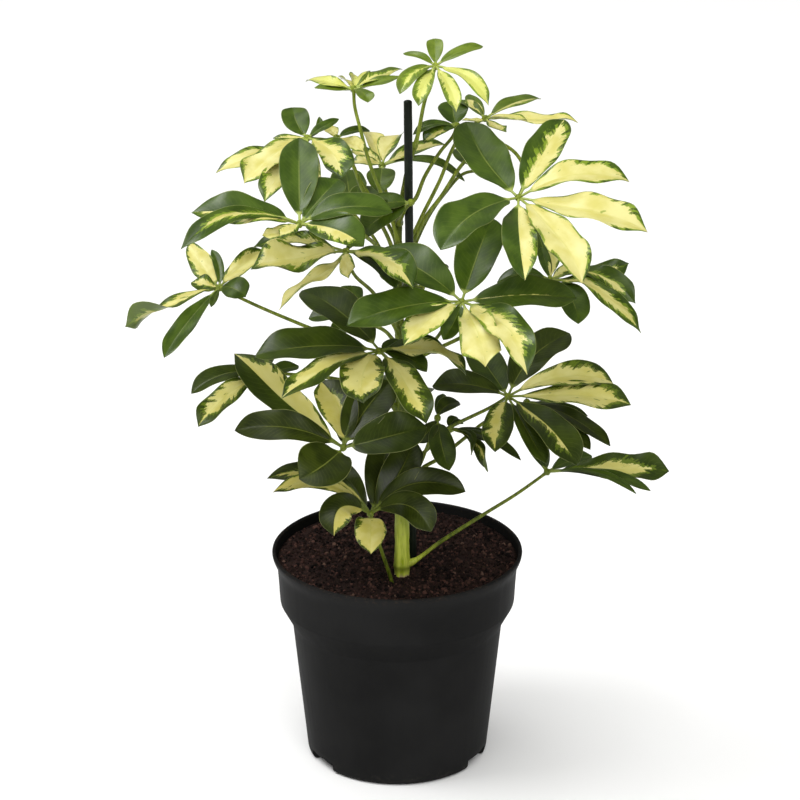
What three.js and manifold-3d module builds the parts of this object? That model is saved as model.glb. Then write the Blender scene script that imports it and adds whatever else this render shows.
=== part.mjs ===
// Potted umbrella plant: a young variegated plant in a nursery pot, with a support stake.
// Millimetres, +Z up. The pot stands on z = 0 with its axis on the z axis, and the plant's
// open side faces -Y.
import * as THREE from "three";
import { mergeVertices } from "three/addons/utils/BufferGeometryUtils.js";
import Module from "manifold-3d";

const wasm = await Module();
wasm.setup();

// ---------- driving dimensions ----------

const GAP = 0.3;                 // clearance between pieces that would touch
const OVERRUN = 1;               // how far a cut runs past what it cuts
const MERGE_LIMIT = 1e-4;        // points closer than this are one

const POT_HEIGHT = 149;
const POT_RIM_RADIUS = 85;       // outside of the rim
const MOUTH_RADIUS = 82.3;       // inside of the rim
const RIM_FLARE = 12;            // height over which the band flares out to the rim
const BAND_TOP_RADIUS = 81.4;
const BAND_FOOT_RADIUS = 79.9;
const BAND_DROP = 36.7;          // rim to the lower edge of the band
const SHOULDER_RADIUS = 71.8;
const SHOULDER_DROP = 51;        // rim to the foot of the shoulder
const POT_BASE_RADIUS = 62.1;
const BASE_ROUNDING = 3.5;
const BASE_CHAMFER = 1.05;
const WALL = 2;
const FLOOR = 2.2;
const BEND_RISE = 0.5;           // the wall's inner bends sit this much above the outer ones
const MOUTH_LEDGE = 0.3;         // step between the soil's edge and the mouth
const POT_SIDES = 36;
// Curve from the flare up to the rim: [inset from the rim's radius, drop below the top].
const RIM_CURVE = [[2, 7.2], [0.4, 3.6], [0, 1.6], [0.7, 0]];

const NOTCH_CENTRES = [-57, 63, 183];  // degrees about z, measured from -Y towards +X
const NOTCH_SPAN = 23;
const NOTCH_HEIGHT = 7;
const NOTCH_DEPTH = 6;
const NOTCH_FACETS = 3;
const DRAIN_SPAN = 11;
const DRAIN_SILL = 3;            // height of the drain hole's lower edge
const DRAIN_HEIGHT = 3;

const SOIL_DROP = 6;             // rim to the soil at the wall
const SOIL_MOUND = 1;            // rise of the soil at the middle
const SOIL_RINGS = [0.8, 0.4];   // shares of the soil's radius where its top bends

const STAKE_RADIUS = 2.75;
const STAKE_SUNK = 100;
const STAKE_ROUNDING = 1.2;
const STAKE_CROWN_SHARE = 0.62;  // share of the stake's radius left at its top
const STAKE_SIDES = 12;
const TRUNK_SUNK = 55;
const TRUNK_FOOT_SHIFT = [-1, 2];
const TRUNK_FOOT_SHARE = 0.8;    // share of the trunk's radius left at its buried foot
const TRUNK_SIDES = 8;
const SHOOT_SUNK = 22;
const SHOOT_FOOT_SHIFT = [1.5, 1];
const BLADE_THICKNESS = 0.8;
const STALK_SHARE = 0.1;         // part of a leaflet's length that is bare stalk
const STALK_HALF_WIDTH = 0.8;
const OUTLINE_POWER = 1.2;       // sum of the outline's two exponents: lower is blunter
const HUB_RADIUS = 2.7;
const PETIOLE_RADIUS = 1.25;
const PETIOLE_FOOT_RADIUS = 1.6;
const PETIOLE_SIDES = 5;
const FLAT_WIDTH = 14.5;         // leaflets narrower than this are flat across

// ---------- the front view that places the plant ----------
// Places on the plant are measured as (u, v) in a front view 800 wide and 800 high, seen from
// EYE and looking down by PITCH. sight() gives the point of a line of sight at a depth y.

const EYE = new THREE.Vector3(1.9, -1866.8, 977.1);
const PITCH = THREE.MathUtils.degToRad(21.1);
const VIEW_FOCUS = 3000;
const VIEW_CENTRE = 400;
const RIGHT = new THREE.Vector3(1, 0, 0);
const UP = new THREE.Vector3(0, Math.sin(PITCH), Math.cos(PITCH));
const AHEAD = new THREE.Vector3(0, Math.cos(PITCH), -Math.sin(PITCH));

function sightLine(u, v) {
  return AHEAD.clone()
    .addScaledVector(RIGHT, (u - VIEW_CENTRE) / VIEW_FOCUS)
    .addScaledVector(UP, (VIEW_CENTRE - v) / VIEW_FOCUS);
}

function sight(u, v, y) {
  const line = sightLine(u, v);
  return EYE.clone().addScaledVector(line, (y - EYE.y) / line.y);
}

// ---------- the plant's measured layout ----------

// Trunk: [u, v, depth y, radius], from the soil up to the youngest leaf's stalk.
const TRUNK = [
  [402, 574, -31, 5.2],
  [402, 563, -31, 5.3],
  [402, 540, -30, 4.9],
  [402, 515, -28, 4.9],
  [402.5, 490, -25, 4.8],
  [403, 460, -20, 4.4],
  [401.5, 430, -19, 4.1],
  [400.5, 400, -18, 3.8],
  [400, 360, -15, 3.4],
  [399.5, 320, -11, 3.0],
  [398.5, 285, -7, 2.7],
  [398.5, 250, -3, 2.4],
  [399, 225, 1, 2.2],
  [403, 195, 3, 2.0],
  [409, 165, 3, 1.7],
  [414.8, 147, 2, 1.5],
];

const STAKE_TOP = [407.8, 100, -9];
const STAKE_FOOT = [412.5, 560, -17];

// A leaflet runs from its leaf's hub to the tip. near lifts the tip off the leaf's plane towards
// the viewer and arch brings the middle towards the viewer, both in mm. bow moves the middle
// sideways in the view, to the left of the way to the tip. roll turns the blade about its midrib,
// in degrees. peak is the place of the widest part along the blade.
function blade(tip, width, more = {}) {
  return { tip, width, near: 0, arch: 4, bow: 0, roll: 0, peak: 0.55, ...more };
}

// A leaf: hub [u, v, depth y]; lean is how fast its plane falls back to the right and upwards;
// from is the row v on the trunk where the petiole starts; route is where the petiole passes.
const LEAVES = {
  leaf_01: {
    hub: [435.5, 66, 2], lean: [0, 1.0], from: 148, route: [[418.5, 132, 1], [424, 104, 0], [430, 84, 1]],
    blades: [
      blade([434.5, 38.5], 11, { arch: 2, peak: 0.66 }),
      blade([483.2, 46.3], 10, { arch: 3, bow: 3, peak: 0.6 }),
      blade([403, 53.8], 7, { arch: 3, bow: -3 }),
      blade([489.5, 104], 11, { near: 6, arch: 4, bow: 8 }),
      blade([456.3, 111.5], 11.5, { near: 6, arch: 5, bow: 3 }),
      blade([418.5, 106], 12, { near: 6, arch: 5, bow: -3 }),
      blade([399.5, 94], 12, { near: 4, arch: 4, bow: -7 }),
    ],
  },
  leaf_02: {
    hub: [353.8, 89, 0], lean: [0, 2.0], from: 243,
    route: [[391, 217, -2], [381, 193, -6], [369.5, 163, -10], [360.5, 130, -10], [354.5, 105, -5]],
    blades: [
      blade([305.2, 80.3], 14, { arch: 3, bow: -1 }),
      blade([314.2, 88], 12, { near: 6, arch: 2, bow: 1 }),
      blade([341.5, 77.5], 12, { arch: 2, roll: 30 }),
      blade([354.5, 73], 9, { arch: 2, roll: 40 }),
      blade([368.2, 69.8], 9, { arch: 3, roll: -20 }),
      blade([403, 67], 13, { arch: 4, bow: 1 }),
      blade([401, 76.5], 12, { near: 8, arch: 3, bow: -1 }),
      blade([368, 102.5], 11, { near: 3, arch: 4, bow: 3, peak: 0.66 }),
    ],
  },
  leaf_03: {
    hub: [299.5, 224, -112], lean: [0, 0.85], from: 290,
    route: [[380, 251, -20], [369, 239, -35], [345, 228, -70], [318, 226, -98]],
    blades: [
      blade([299, 138], 25, { near: 2, arch: 3, peak: 0.58 }),
      blade([190.5, 211.5], 25, { near: 12, arch: 6, bow: -5, peak: 0.58 }),
      blade([180.5, 249], 12, { near: 24, arch: 2, bow: -22, roll: -20, peak: 0.7 }),
      blade([262, 235.5], 12, { near: 6, arch: 3, bow: 3 }),
      blade([280, 236.5], 10, { near: 10, arch: 3 }),
      blade([393, 212], 21, { near: 8, arch: 6, bow: 10 }),
      blade([364, 246.5], 25, { near: 12, arch: 5, bow: 6 }),
      blade([339, 179], 21, { near: -2, arch: 3, bow: 1, peak: 0.66 }),
    ],
  },
  leaf_04: {
    hub: [307, 138, -20], lean: [0, 1.0], from: 268,
    route: [[389, 240, -2], [379, 220, -4], [360, 184, -6], [353, 165, -8], [337, 143, -13]],
    blades: [
      blade([293, 107.5], 18, { arch: 3, bow: 3, peak: 0.58 }),
      blade([339, 119], 8, { near: 4, arch: 2, bow: 1 }),
      blade([319, 116.5], 5, { near: 2, arch: 2, bow: -6 }),
      blade([272.5, 138], 6, { near: 2, arch: 2 }),
      blade([214.5, 169.5], 14, { near: 4, arch: 4, bow: 2, peak: 0.66 }),
      blade([243, 181.5], 21, { near: 6, arch: 5, bow: -4, peak: 0.66 }),
      blade([264, 201], 18, { near: 8, arch: 4, bow: -2, peak: 0.66 }),
      blade([312, 199], 14, { near: 6, arch: 4 }),
      blade([342, 178], 22, { near: 12, arch: 5, bow: 9, peak: 0.6 }),
    ],
  },
  leaf_05: {
    hub: [382.3, 165.5, 26], lean: [0, 1.2], from: 228,
    route: [[392, 207, 18], [385.5, 190, 24]],
    blades: [
      blade([371, 130], 16, { arch: 2, bow: 2, roll: 20, peak: 0.72 }),
      blade([400.3, 132.5], 17, { arch: 2, bow: 3, roll: -20, peak: 0.7 }),
      blade([446.5, 143.5], 13, { near: 4, arch: 4, bow: 4 }),
      blade([465.4, 181.6], 9, { near: -12, arch: 3, bow: 13, peak: 0.6 }),
      blade([350.5, 150], 13, { arch: 4, bow: -2 }),
      blade([352, 164], 12, { near: 6, arch: 3, bow: -3 }),
      blade([379.5, 192.5], 19, { near: -2, arch: 3, peak: 0.42 }),
    ],
  },
  leaf_06: {
    hub: [457, 126, 14], lean: [0, 1.0], from: 205,
    route: [[413.5, 201, 5], [425, 176, 7], [440, 152, 10], [453, 136, 13]],
    blades: [
      blade([453.5, 101.5], 20, { arch: 2, bow: 2, peak: 0.56 }),
      blade([413, 135], 8, { near: -2, arch: 3, bow: -6 }),
      blade([443.3, 130], 5, { near: 5, arch: 1 }),
      blade([423, 142.5], 12, { near: -4, arch: 3, bow: -3, peak: 0.66 }),
    ],
  },
  leaf_07: {
    hub: [411, 202.5, -22], lean: [0, 1.0], from: 224, route: [[402.5, 215, -13], [406, 208, -20]],
    blades: [
      blade([361, 234], 26, { near: -20, arch: 4, bow: -3, peak: 0.6 }),
      blade([366, 208], 18, { near: -8, arch: 3, bow: -2 }),
    ],
  },
  leaf_08: {
    hub: [485.5, 118.5, 12], lean: [0, 1.8], from: 262,
    route: [
      [411, 239, 10], [424.5, 211, 12], [440, 180, 13],
      [452, 150, 14], [462, 133, 14], [474, 124, 13],
    ],
    blades: [
      blade([458.5, 99.5], 9, { arch: 3, bow: -1 }),
      blade([469, 94], 10, { arch: 3, bow: 2 }),
      blade([467, 99], 7, { near: 5, arch: 2 }),
      blade([541.3, 98.5], 15, { arch: 4, bow: 4, peak: 0.6 }),
      blade([579, 121], 15, { near: -2, arch: 3, bow: 1, peak: 0.56 }),
      blade([528, 118.5], 8, { near: 9, arch: 3, bow: 1 }),
      blade([506.5, 130.5], 10, { near: 8, arch: 3, bow: -3, peak: 0.66 }),
      blade([462, 119.5], 6, { near: 2, arch: 1, bow: 2 }),
    ],
  },
  leaf_09: {
    hub: [518.6, 197.8, -70], lean: [0, 1.2], from: 275,
    route: [
      [406.5, 253, -5], [415, 238, -5], [426.5, 216, -6], [441.5, 196, -7], [463.5, 163, -8],
      [482, 148, -9], [500, 144, -11], [512, 150, -18], [522, 163, -32], [524, 182, -52],
    ],
    blades: [
      blade([465.5, 122], 31, { arch: 4, bow: 6, peak: 0.56 }),
      blade([564.5, 117.5], 24, { near: 4, arch: 4, bow: 1, peak: 0.56 }),
      blade([631.5, 178.5], 25, { near: 10, arch: 5, bow: 12, peak: 0.58 }),
      blade([649, 226.8], 29, { near: 10, arch: 5, bow: 1, peak: 0.6 }),
      blade([583, 279], 25, { near: 8, arch: 6, bow: 6, peak: 0.6 }),
      blade([525.2, 278], 22, { near: 4, arch: 5, bow: -3, peak: 0.5 }),
      blade([440.5, 250], 31, { near: 8, arch: 6, bow: -11, peak: 0.56 }),
    ],
  },
  leaf_10: {
    hub: [550, 280, -38], lean: [0, 1.0], from: 368,
    route: [[411, 362, -22], [430, 352, -25], [460, 338, -29], [490, 320, -33], [530, 294, -36]],
    blades: [
      blade([530, 214], 13, { arch: 4, bow: -2 }),
      blade([541, 247], 8, { near: 6, arch: 2 }),
      blade([556, 247], 9, { near: 6, arch: 2, peak: 0.7 }),
      blade([580, 266], 10, { near: 8, arch: 3, bow: 2 }),
      blade([629, 263], 16, { near: 6, arch: 5, bow: -4, peak: 0.74 }),
      blade([635.5, 304], 19, { near: 10, arch: 7, bow: 17, peak: 0.72 }),
      blade([641.5, 334], 16, { near: 16, arch: 6, bow: 15, peak: 0.6 }),
      blade([578.3, 324], 20, { near: 8, arch: 5, bow: 7, peak: 0.55 }),
      blade([496.8, 283], 11, { near: 2, arch: 4, bow: -8 }),
    ],
  },
  leaf_11: {
    hub: [461.7, 301.8, -112], lean: [0, 0.95], from: 362,
    route: [[414, 353, -45], [434, 341, -78], [450, 318, -102]],
    blades: [
      blade([492, 217.5], 28, { near: 3, arch: 4, bow: 1, peak: 0.54 }),
      blade([380.5, 249], 30, { near: -2, arch: 6, bow: -4, peak: 0.6 }),
      blade([346.8, 326], 29, { near: 6, arch: 6, bow: -7, peak: 0.58 }),
      blade([403, 344], 20, { near: 8, arch: 4, bow: -4, peak: 0.56 }),
      blade([486, 363], 25, { near: 6, arch: 5, bow: 2, peak: 0.68 }),
      blade([528, 373], 25, { near: 8, arch: 6, bow: 14, peak: 0.44 }),
      blade([443, 340], 13, { near: -12, arch: 3, bow: 2 }),
      blade([577, 298], 28, { near: 6, arch: 5, bow: 4, peak: 0.56 }),
    ],
  },
  leaf_12: {
    hub: [379.5, 351, -92], lean: [0, 1.2], from: 380, route: [[394, 367, -45], [386, 357, -75]],
    blades: [
      blade([301.5, 290.5], 30, { near: -6, arch: 5, bow: -7, peak: 0.56 }),
      blade([404, 343], 10, { near: -4, arch: 2, bow: 2 }),
      blade([254.8, 357], 32, { near: 6, arch: 7, bow: -8, peak: 0.56 }),
      blade([280.5, 398], 18, { near: 6, arch: 5, bow: -7, peak: 0.6 }),
      blade([364, 402.5], 28, { near: -2, arch: 5, bow: -9, peak: 0.52 }),
      blade([426.5, 423], 22, { near: 2, arch: 6, bow: 4, peak: 0.55 }),
      blade([468, 374], 17, { near: 4, arch: 6, bow: 13, peak: 0.6 }),
      blade([427, 372], 16, { near: -8, arch: 3, bow: 5 }),
      blade([446, 350], 18, { near: 4, arch: 3, bow: 4, peak: 0.6 }),
    ],
  },
  leaf_13: {
    hub: [343.4, 447.7, -70], lean: [0, 0.6], from: 424, route: [[385, 430, -42], [362, 440, -56]],
    blades: [
      blade([234, 352], 25, { near: 12, arch: 4, bow: 3, peak: 0.6 }),
      blade([320, 380], 26, { near: 2, arch: 3, bow: -9, peak: 0.58 }),
      blade([234.3, 430.5], 23, { near: 8, arch: 4, bow: -11, peak: 0.6 }),
      blade([299, 479], 36, { near: 10, arch: 5, bow: 3, peak: 0.46 }),
      blade([427, 427], 30, { near: 6, arch: 4, bow: 0, peak: 0.54 }),
      blade([391, 381], 30, { near: 4, arch: 3, bow: 4, peak: 0.56 }),
      blade([345, 398], 12, { near: -6, arch: 2, bow: 1 }),
    ],
  },
  leaf_14: {
    hub: [219, 288, -32], lean: [0, 0.9], from: 398,
    route: [[390, 375, -24], [350, 345, -26], [300, 324, -26], [262, 308, -27], [234, 295, -30]],
    blades: [
      blade([125, 327], 19, { near: 12, arch: 5, bow: -4, peak: 0.8 }),
      blade([164, 358], 14, { near: 10, arch: 5, bow: -3, peak: 0.6 }),
      blade([188.5, 239.5], 16, { near: 2, arch: 3, bow: 2, peak: 0.44 }),
      blade([190.5, 282], 13, { near: 4, arch: 2 }),
      blade([211.5, 249.5], 7, { near: 6, arch: 2, bow: -4 }),
      blade([266.5, 248], 14, { near: 0, arch: 3, bow: 2 }),
      blade([246, 297], 17, { near: 8, arch: 3, bow: 4, roll: 10, peak: 0.6 }),
      blade([211, 307], 5, { near: 8, arch: 1 }),
    ],
  },
  leaf_15: {
    hub: [346, 251.5, -82], lean: [0, 1.1], from: 335, route: [[373.5, 293, -55], [353.5, 273.5, -72]],
    blades: [
      blade([250.5, 245], 15, { near: -10, arch: 4, bow: -6 }),
      blade([250.5, 270], 27, { near: -2, arch: 6, bow: -4, peak: 0.56 }),
      blade([275, 303.5], 12, { near: 2, arch: 4, bow: 5 }),
      blade([348, 278], 10, { near: 2, arch: 3 }),
      blade([414, 288], 21, { near: 14, arch: 6, bow: 12, peak: 0.56 }),
      blade([396, 289], 13, { near: -2, arch: 4, bow: 9 }),
      blade([356, 238], 5, { arch: 1 }),
    ],
  },
  leaf_16: {
    hub: [264, 373, -20], lean: [0, 0.9], from: 412,
    route: [[385, 399, -22], [345, 381, -22], [300, 375, -21]],
    blades: [
      blade([191.3, 394], 15, { near: 2, arch: 4, bow: -10, peak: 0.58 }),
      blade([197.5, 426], 18, { near: 4, arch: 5, bow: -5, peak: 0.62 }),
      blade([299, 366], 11, { near: -6, arch: 2 }),
      blade([268, 347], 12, { near: -6, arch: 2 }),
    ],
  },
  leaf_17: {
    hub: [508, 396.5, -55], lean: [0, 1.1], from: 447,
    route: [[430, 437, -28], [460, 422, -38], [491, 407, -49]],
    blades: [
      blade([432, 386], 23, { near: 2, arch: 5, bow: -6, peak: 0.64 }),
      blade([474, 348], 24, { near: -2, arch: 3, bow: 0, peak: 0.58 }),
      blade([569.5, 333], 28, { near: 0, arch: 5, bow: 10, peak: 0.58 }),
      blade([615.5, 382], 24, { near: 6, arch: 5, bow: 12, peak: 0.68 }),
      blade([632, 402], 25, { near: 12, arch: 5, bow: 3, peak: 0.68 }),
      blade([578, 465], 24, { near: 4, arch: 6, bow: 6, peak: 0.6 }),
      blade([547, 464], 13, { near: -8, arch: 4, bow: -1, peak: 0.6 }),
      blade([495, 452], 20, { near: 2, arch: 5, bow: -3, peak: 0.56 }),
    ],
  },
  leaf_18: {
    hub: [527, 402, -8], lean: [0, 1.2], from: 496,
    route: [[421.5, 469, -20], [438, 459, -19], [466, 437, -18], [485, 422, -16]],
    blades: [
      blade([610.5, 446.5], 13, { near: 10, arch: 5, bow: 7, peak: 0.56 }),
      blade([588, 416.5], 8, { near: 4, arch: 3, bow: 3 }),
      blade([590.5, 450], 13, { near: 4, arch: 4, bow: 2, peak: 0.66 }),
    ],
  },
  leaf_19: {
    hub: [547.3, 472, -15], lean: [0, 1.0], from: 565,
    route: [[414, 561, -31], [440, 542, -29], [485, 513.5, -25], [515, 495, -20], [535, 481, -17]],
    blades: [
      blade([669.5, 471], 26, { near: 8, arch: 4, bow: 3, peak: 0.72 }),
      blade([651, 491], 9, { near: 12, arch: 4, bow: 8, peak: 0.66 }),
      blade([636.8, 494], 6, { near: 16, arch: 4, bow: 11, peak: 0.66 }),
      blade([518, 424], 5, { near: -2, arch: 2, bow: 2 }),
      blade([539, 437], 9, { near: -4, arch: 2 }),
      blade([592, 456], 14, { near: -4, arch: 2, bow: 3, peak: 0.66 }),
    ],
  },
  leaf_20: {
    hub: [437.5, 418, -40], lean: [0, 0.9], from: 482, route: [[416.5, 470, -28], [425.5, 451, -32]],
    blades: [
      blade([459.5, 402.5], 12, { near: -4, arch: 2, bow: 5, peak: 0.6 }),
      blade([443, 393.5], 8, { near: -4, arch: 2 }),
      blade([449.3, 471], 17, { near: 4, arch: 4, bow: -2, peak: 0.5 }),
      blade([418, 443], 13, { near: 2, arch: 3, bow: 1, peak: 0.62 }),
    ],
  },
  leaf_21: {
    hub: [451, 429, -28], lean: [0, 1.0], from: 470, route: [[428, 449, -23]],
    blades: [
      blade([457, 417], 8, { near: 3, arch: 1, bow: 2 }),
      blade([463.5, 424], 5, { near: 4, arch: 1, bow: 4 }),
      blade([487, 472.5], 10, { near: 6, arch: 4, bow: 10, peak: 0.8 }),
      blade([471, 456], 6, { near: 8, arch: 3, bow: 13, peak: 0.75 }),
      blade([493, 441], 10, { near: 0, arch: 3, bow: 2 }),
      blade([521.3, 460.5], 8, { near: 2, arch: 5, bow: 7 }),
    ],
  },
  leaf_22: {
    hub: [370.5, 514, -54], lean: [0, 0.5], from: null,
    route: [[391.5, 582, -44], [385, 561, -46], [378, 541, -49], [373, 527, -51]],
    blades: [
      blade([414.5, 440], 24, { near: 14, arch: 3, bow: -4, peak: 0.6 }),
      blade([386, 439], 24, { near: 0, arch: 3, bow: -3, peak: 0.6 }),
      blade([465.5, 492], 20, { near: 6, arch: 4, bow: 20, peak: 0.62 }),
      blade([431, 532], 21, { near: 8, arch: 5, bow: 19, peak: 0.62 }),
      blade([371, 554], 21, { near: 6, arch: 4, bow: 0, peak: 0.38 }),
      blade([334, 536], 22, { near: 6, arch: 5, bow: -21, peak: 0.58 }),
      blade([336, 460], 20, { near: 0, arch: 3, bow: 4, peak: 0.56 }),
      blade([270.5, 491], 11, { near: 8, arch: 4, bow: -19, peak: 0.68 }),
      blade([266.5, 478.5], 13, { near: -2, arch: 4, bow: -23, peak: 0.68 }),
    ],
  },
  leaf_23: {
    hub: [336.5, 138, -2], lean: [0, 1.2], from: 248,
    route: [[392, 232, 5], [381, 213, 6], [361, 182, 4], [346, 152, 1]],
    blades: [
      blade([370, 131], 9, { near: -2, arch: 2, bow: 3 }),
      blade([328, 126], 9, { arch: 2 }),
      blade([364, 152], 12, { near: 4, arch: 3, bow: 2 }),
    ],
  },
  leaf_24: {
    hub: [348, 315, 10], lean: [0, 0.9], from: 350, route: [[385, 331, -2], [366, 323, 5]],
    blades: [
      blade([308.5, 319], 14, { arch: 3, bow: -2, peak: 0.5 }),
      blade([325, 295], 14, { arch: 3 }),
      blade([352, 285.5], 17, { arch: 3, peak: 0.6 }),
      blade([378, 303], 15, { arch: 3 }),
      blade([335, 338], 12, { near: 2, arch: 3 }),
    ],
  },
  leaf_25: {
    hub: [422, 287, 42], lean: [0, 1.9], from: 314, route: [[408, 302, 14]],
    blades: [
      blade([384, 273], 21, { arch: 5, bow: 2 }),
      blade([409, 250], 24, { arch: 5, bow: 1 }),
      blade([437, 262], 22, { arch: 5, bow: -1 }),
      blade([398, 300], 18, { arch: 5, bow: -2 }),
    ],
  },
  leaf_26: {
    hub: [352, 212, 48], lean: [0, 1.9], from: 302, route: [[390, 272, 14], [374, 238, 34]],
    blades: [
      blade([320, 205], 20, { arch: 5, bow: 2 }),
      blade([346, 170], 25, { arch: 5 }),
      blade([375, 186], 22, { arch: 5, bow: -1 }),
      blade([328, 230], 18, { arch: 5, bow: -2 }),
    ],
  },
  leaf_27: {
    hub: [405, 400, 36], lean: [0, 1.9], from: 425, route: [[402, 410, 8]],
    blades: [
      blade([373, 396], 20, { arch: 5, bow: 2 }),
      blade([397, 373], 24, { arch: 5 }),
      blade([425, 387], 22, { arch: 5, bow: -1 }),
      blade([428, 412], 18, { arch: 5, bow: -2 }),
    ],
  },
  leaf_28: {
    hub: [484, 170, 46], lean: [0, 1.9], from: 285,
    route: [[407, 267, 9], [417, 240, 20], [430, 214, 30], [445, 193, 36], [463, 174, 42]],
    blades: [
      blade([460, 149], 20, { arch: 5, bow: 2 }),
      blade([482, 135], 22, { arch: 5 }),
      blade([501, 153], 20, { arch: 5, bow: -1 }),
      blade([503, 176], 18, { arch: 5, bow: -2 }),
    ],
  },
};

// ---------- meshes and solids ----------

function geometryFrom(points, faces) {
  const geometry = new THREE.BufferGeometry();
  const values = points.flatMap((p) => p.toArray());
  geometry.setAttribute("position", new THREE.Float32BufferAttribute(values, 3));
  geometry.setIndex(faces.flat());
  return geometry;
}

function solidFrom(geometry) {
  const bare = geometry.clone();
  bare.deleteAttribute("normal");
  bare.deleteAttribute("uv");
  const merged = mergeVertices(bare, MERGE_LIMIT);
  return new wasm.Manifold(new wasm.Mesh({
    numProp: 3,
    vertProperties: new Float32Array(merged.attributes.position.array),
    triVerts: new Uint32Array(merged.index.array),
  }));
}

function geometryOf(solid) {
  const mesh = solid.getMesh();
  const geometry = new THREE.BufferGeometry();
  geometry.setAttribute("position", new THREE.BufferAttribute(mesh.vertProperties, 3));
  geometry.setIndex(new THREE.BufferAttribute(mesh.triVerts, 1));
  geometry.computeVertexNormals();
  return geometry;
}

function unite(solids) {
  return solids.reduce((whole, solid) => whole.add(solid));
}

// The largest connected piece, so that a sliver left by a cut is dropped.
function mainBody(solid) {
  return solid.decompose().sort((a, b) => b.volume() - a.volume())[0];
}

// Closed solid of revolution about z. profile holds [radius, z] from the axis round to the axis.
function turned(profile, sides = POT_SIDES) {
  return solidFrom(new THREE.LatheGeometry(profile.map(([r, z]) => new THREE.Vector2(r, z)), sides)
    .rotateX(Math.PI / 2));
}

// Tapered round rod through the centres, closed at both ends. Rings stay square to the path.
function rod(centres, radii, sides) {
  const last = centres.length - 1;
  const points = [];
  let across = new THREE.Vector3(1, 0, 0);
  centres.forEach((centre, i) => {
    const before = centres[Math.max(i - 1, 0)];
    const after = centres[Math.min(i + 1, last)];
    const along = after.clone().sub(before).normalize();
    across = across.addScaledVector(along, -across.dot(along)).normalize();
    const other = along.clone().cross(across);
    for (let k = 0; k < sides; k += 1) {
      const turn = (2 * Math.PI * k) / sides;
      points.push(centre.clone()
        .addScaledVector(across, radii[i] * Math.cos(turn))
        .addScaledVector(other, radii[i] * Math.sin(turn)));
    }
  });
  points.push(centres[0].clone(), centres[last].clone());
  const startCap = points.length - 2;
  const endCap = points.length - 1;
  const faces = [];
  for (let k = 0; k < sides; k += 1) {
    const next = (k + 1) % sides;
    for (let i = 0; i < last; i += 1) {
      const a = i * sides + k;
      const b = i * sides + next;
      faces.push([a, b, b + sides], [a, b + sides, a + sides]);
    }
    faces.push([startCap, next, k], [endCap, last * sides + k, last * sides + next]);
  }
  return solidFrom(geometryFrom(points, faces));
}

// ---------- pot and soil ----------

const BAND_FOOT = POT_HEIGHT - BAND_DROP;
const SHOULDER_FOOT = POT_HEIGHT - SHOULDER_DROP;
const FLARE_FOOT = POT_HEIGHT - RIM_FLARE;

const OUTSIDE = [
  [POT_BASE_RADIUS - BASE_ROUNDING, 0],
  [POT_BASE_RADIUS - BASE_CHAMFER, BASE_CHAMFER],
  [POT_BASE_RADIUS, BASE_ROUNDING],
  [SHOULDER_RADIUS, SHOULDER_FOOT],
  [BAND_FOOT_RADIUS, BAND_FOOT],
  [BAND_TOP_RADIUS, FLARE_FOOT],
  ...RIM_CURVE.map(([inset, drop]) => [POT_RIM_RADIUS - inset, POT_HEIGHT - drop]),
];

// The wall's inner side, from the floor up, moved inwards by the clearance.
function inside(clearance) {
  const inset = WALL + clearance;
  return [
    [POT_BASE_RADIUS - inset, FLOOR + clearance],
    [SHOULDER_RADIUS - inset, SHOULDER_FOOT + BEND_RISE],
    [BAND_FOOT_RADIUS - inset, BAND_FOOT + BEND_RISE],
    [BAND_TOP_RADIUS - inset, FLARE_FOOT],
    [MOUTH_RADIUS - MOUTH_LEDGE - clearance, POT_HEIGHT - SOIL_DROP],
  ];
}

// Block of a ring's sector: radii a to b, heights low to high, about one notch's centre.
function sector(centre, span, a, b, low, high) {
  const points = [];
  for (let i = 0; i <= NOTCH_FACETS; i += 1) {
    const turn = THREE.MathUtils.degToRad(centre + span * (i / NOTCH_FACETS - 0.5) - 90);
    const dx = Math.cos(turn);
    const dy = Math.sin(turn);
    points.push(
      new THREE.Vector3(a * dx, a * dy, low), new THREE.Vector3(b * dx, b * dy, low),
      new THREE.Vector3(b * dx, b * dy, high), new THREE.Vector3(a * dx, a * dy, high),
    );
  }
  const faces = [[0, 1, 2], [0, 2, 3]];
  for (let i = 0; i < NOTCH_FACETS; i += 1) {
    for (let k = 0; k < 4; k += 1) {
      const p = 4 * i + k;
      const q = 4 * i + ((k + 1) % 4);
      faces.push([p, p + 4, q + 4], [p, q + 4, q]);
    }
  }
  const end = 4 * NOTCH_FACETS;
  faces.push([end, end + 2, end + 1], [end, end + 3, end + 2]);
  return solidFrom(geometryFrom(points, faces));
}

// Housing that closes the pot's inside round one drainage notch.
function notchHousing(centre, clearance) {
  const inner = POT_BASE_RADIUS - NOTCH_DEPTH - WALL - clearance;
  const widening = THREE.MathUtils.radToDeg((2 * (WALL + clearance)) / inner);
  const high = NOTCH_HEIGHT + WALL + clearance;
  return sector(centre, NOTCH_SPAN + widening, inner, POT_RIM_RADIUS, -OVERRUN, high);
}

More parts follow.
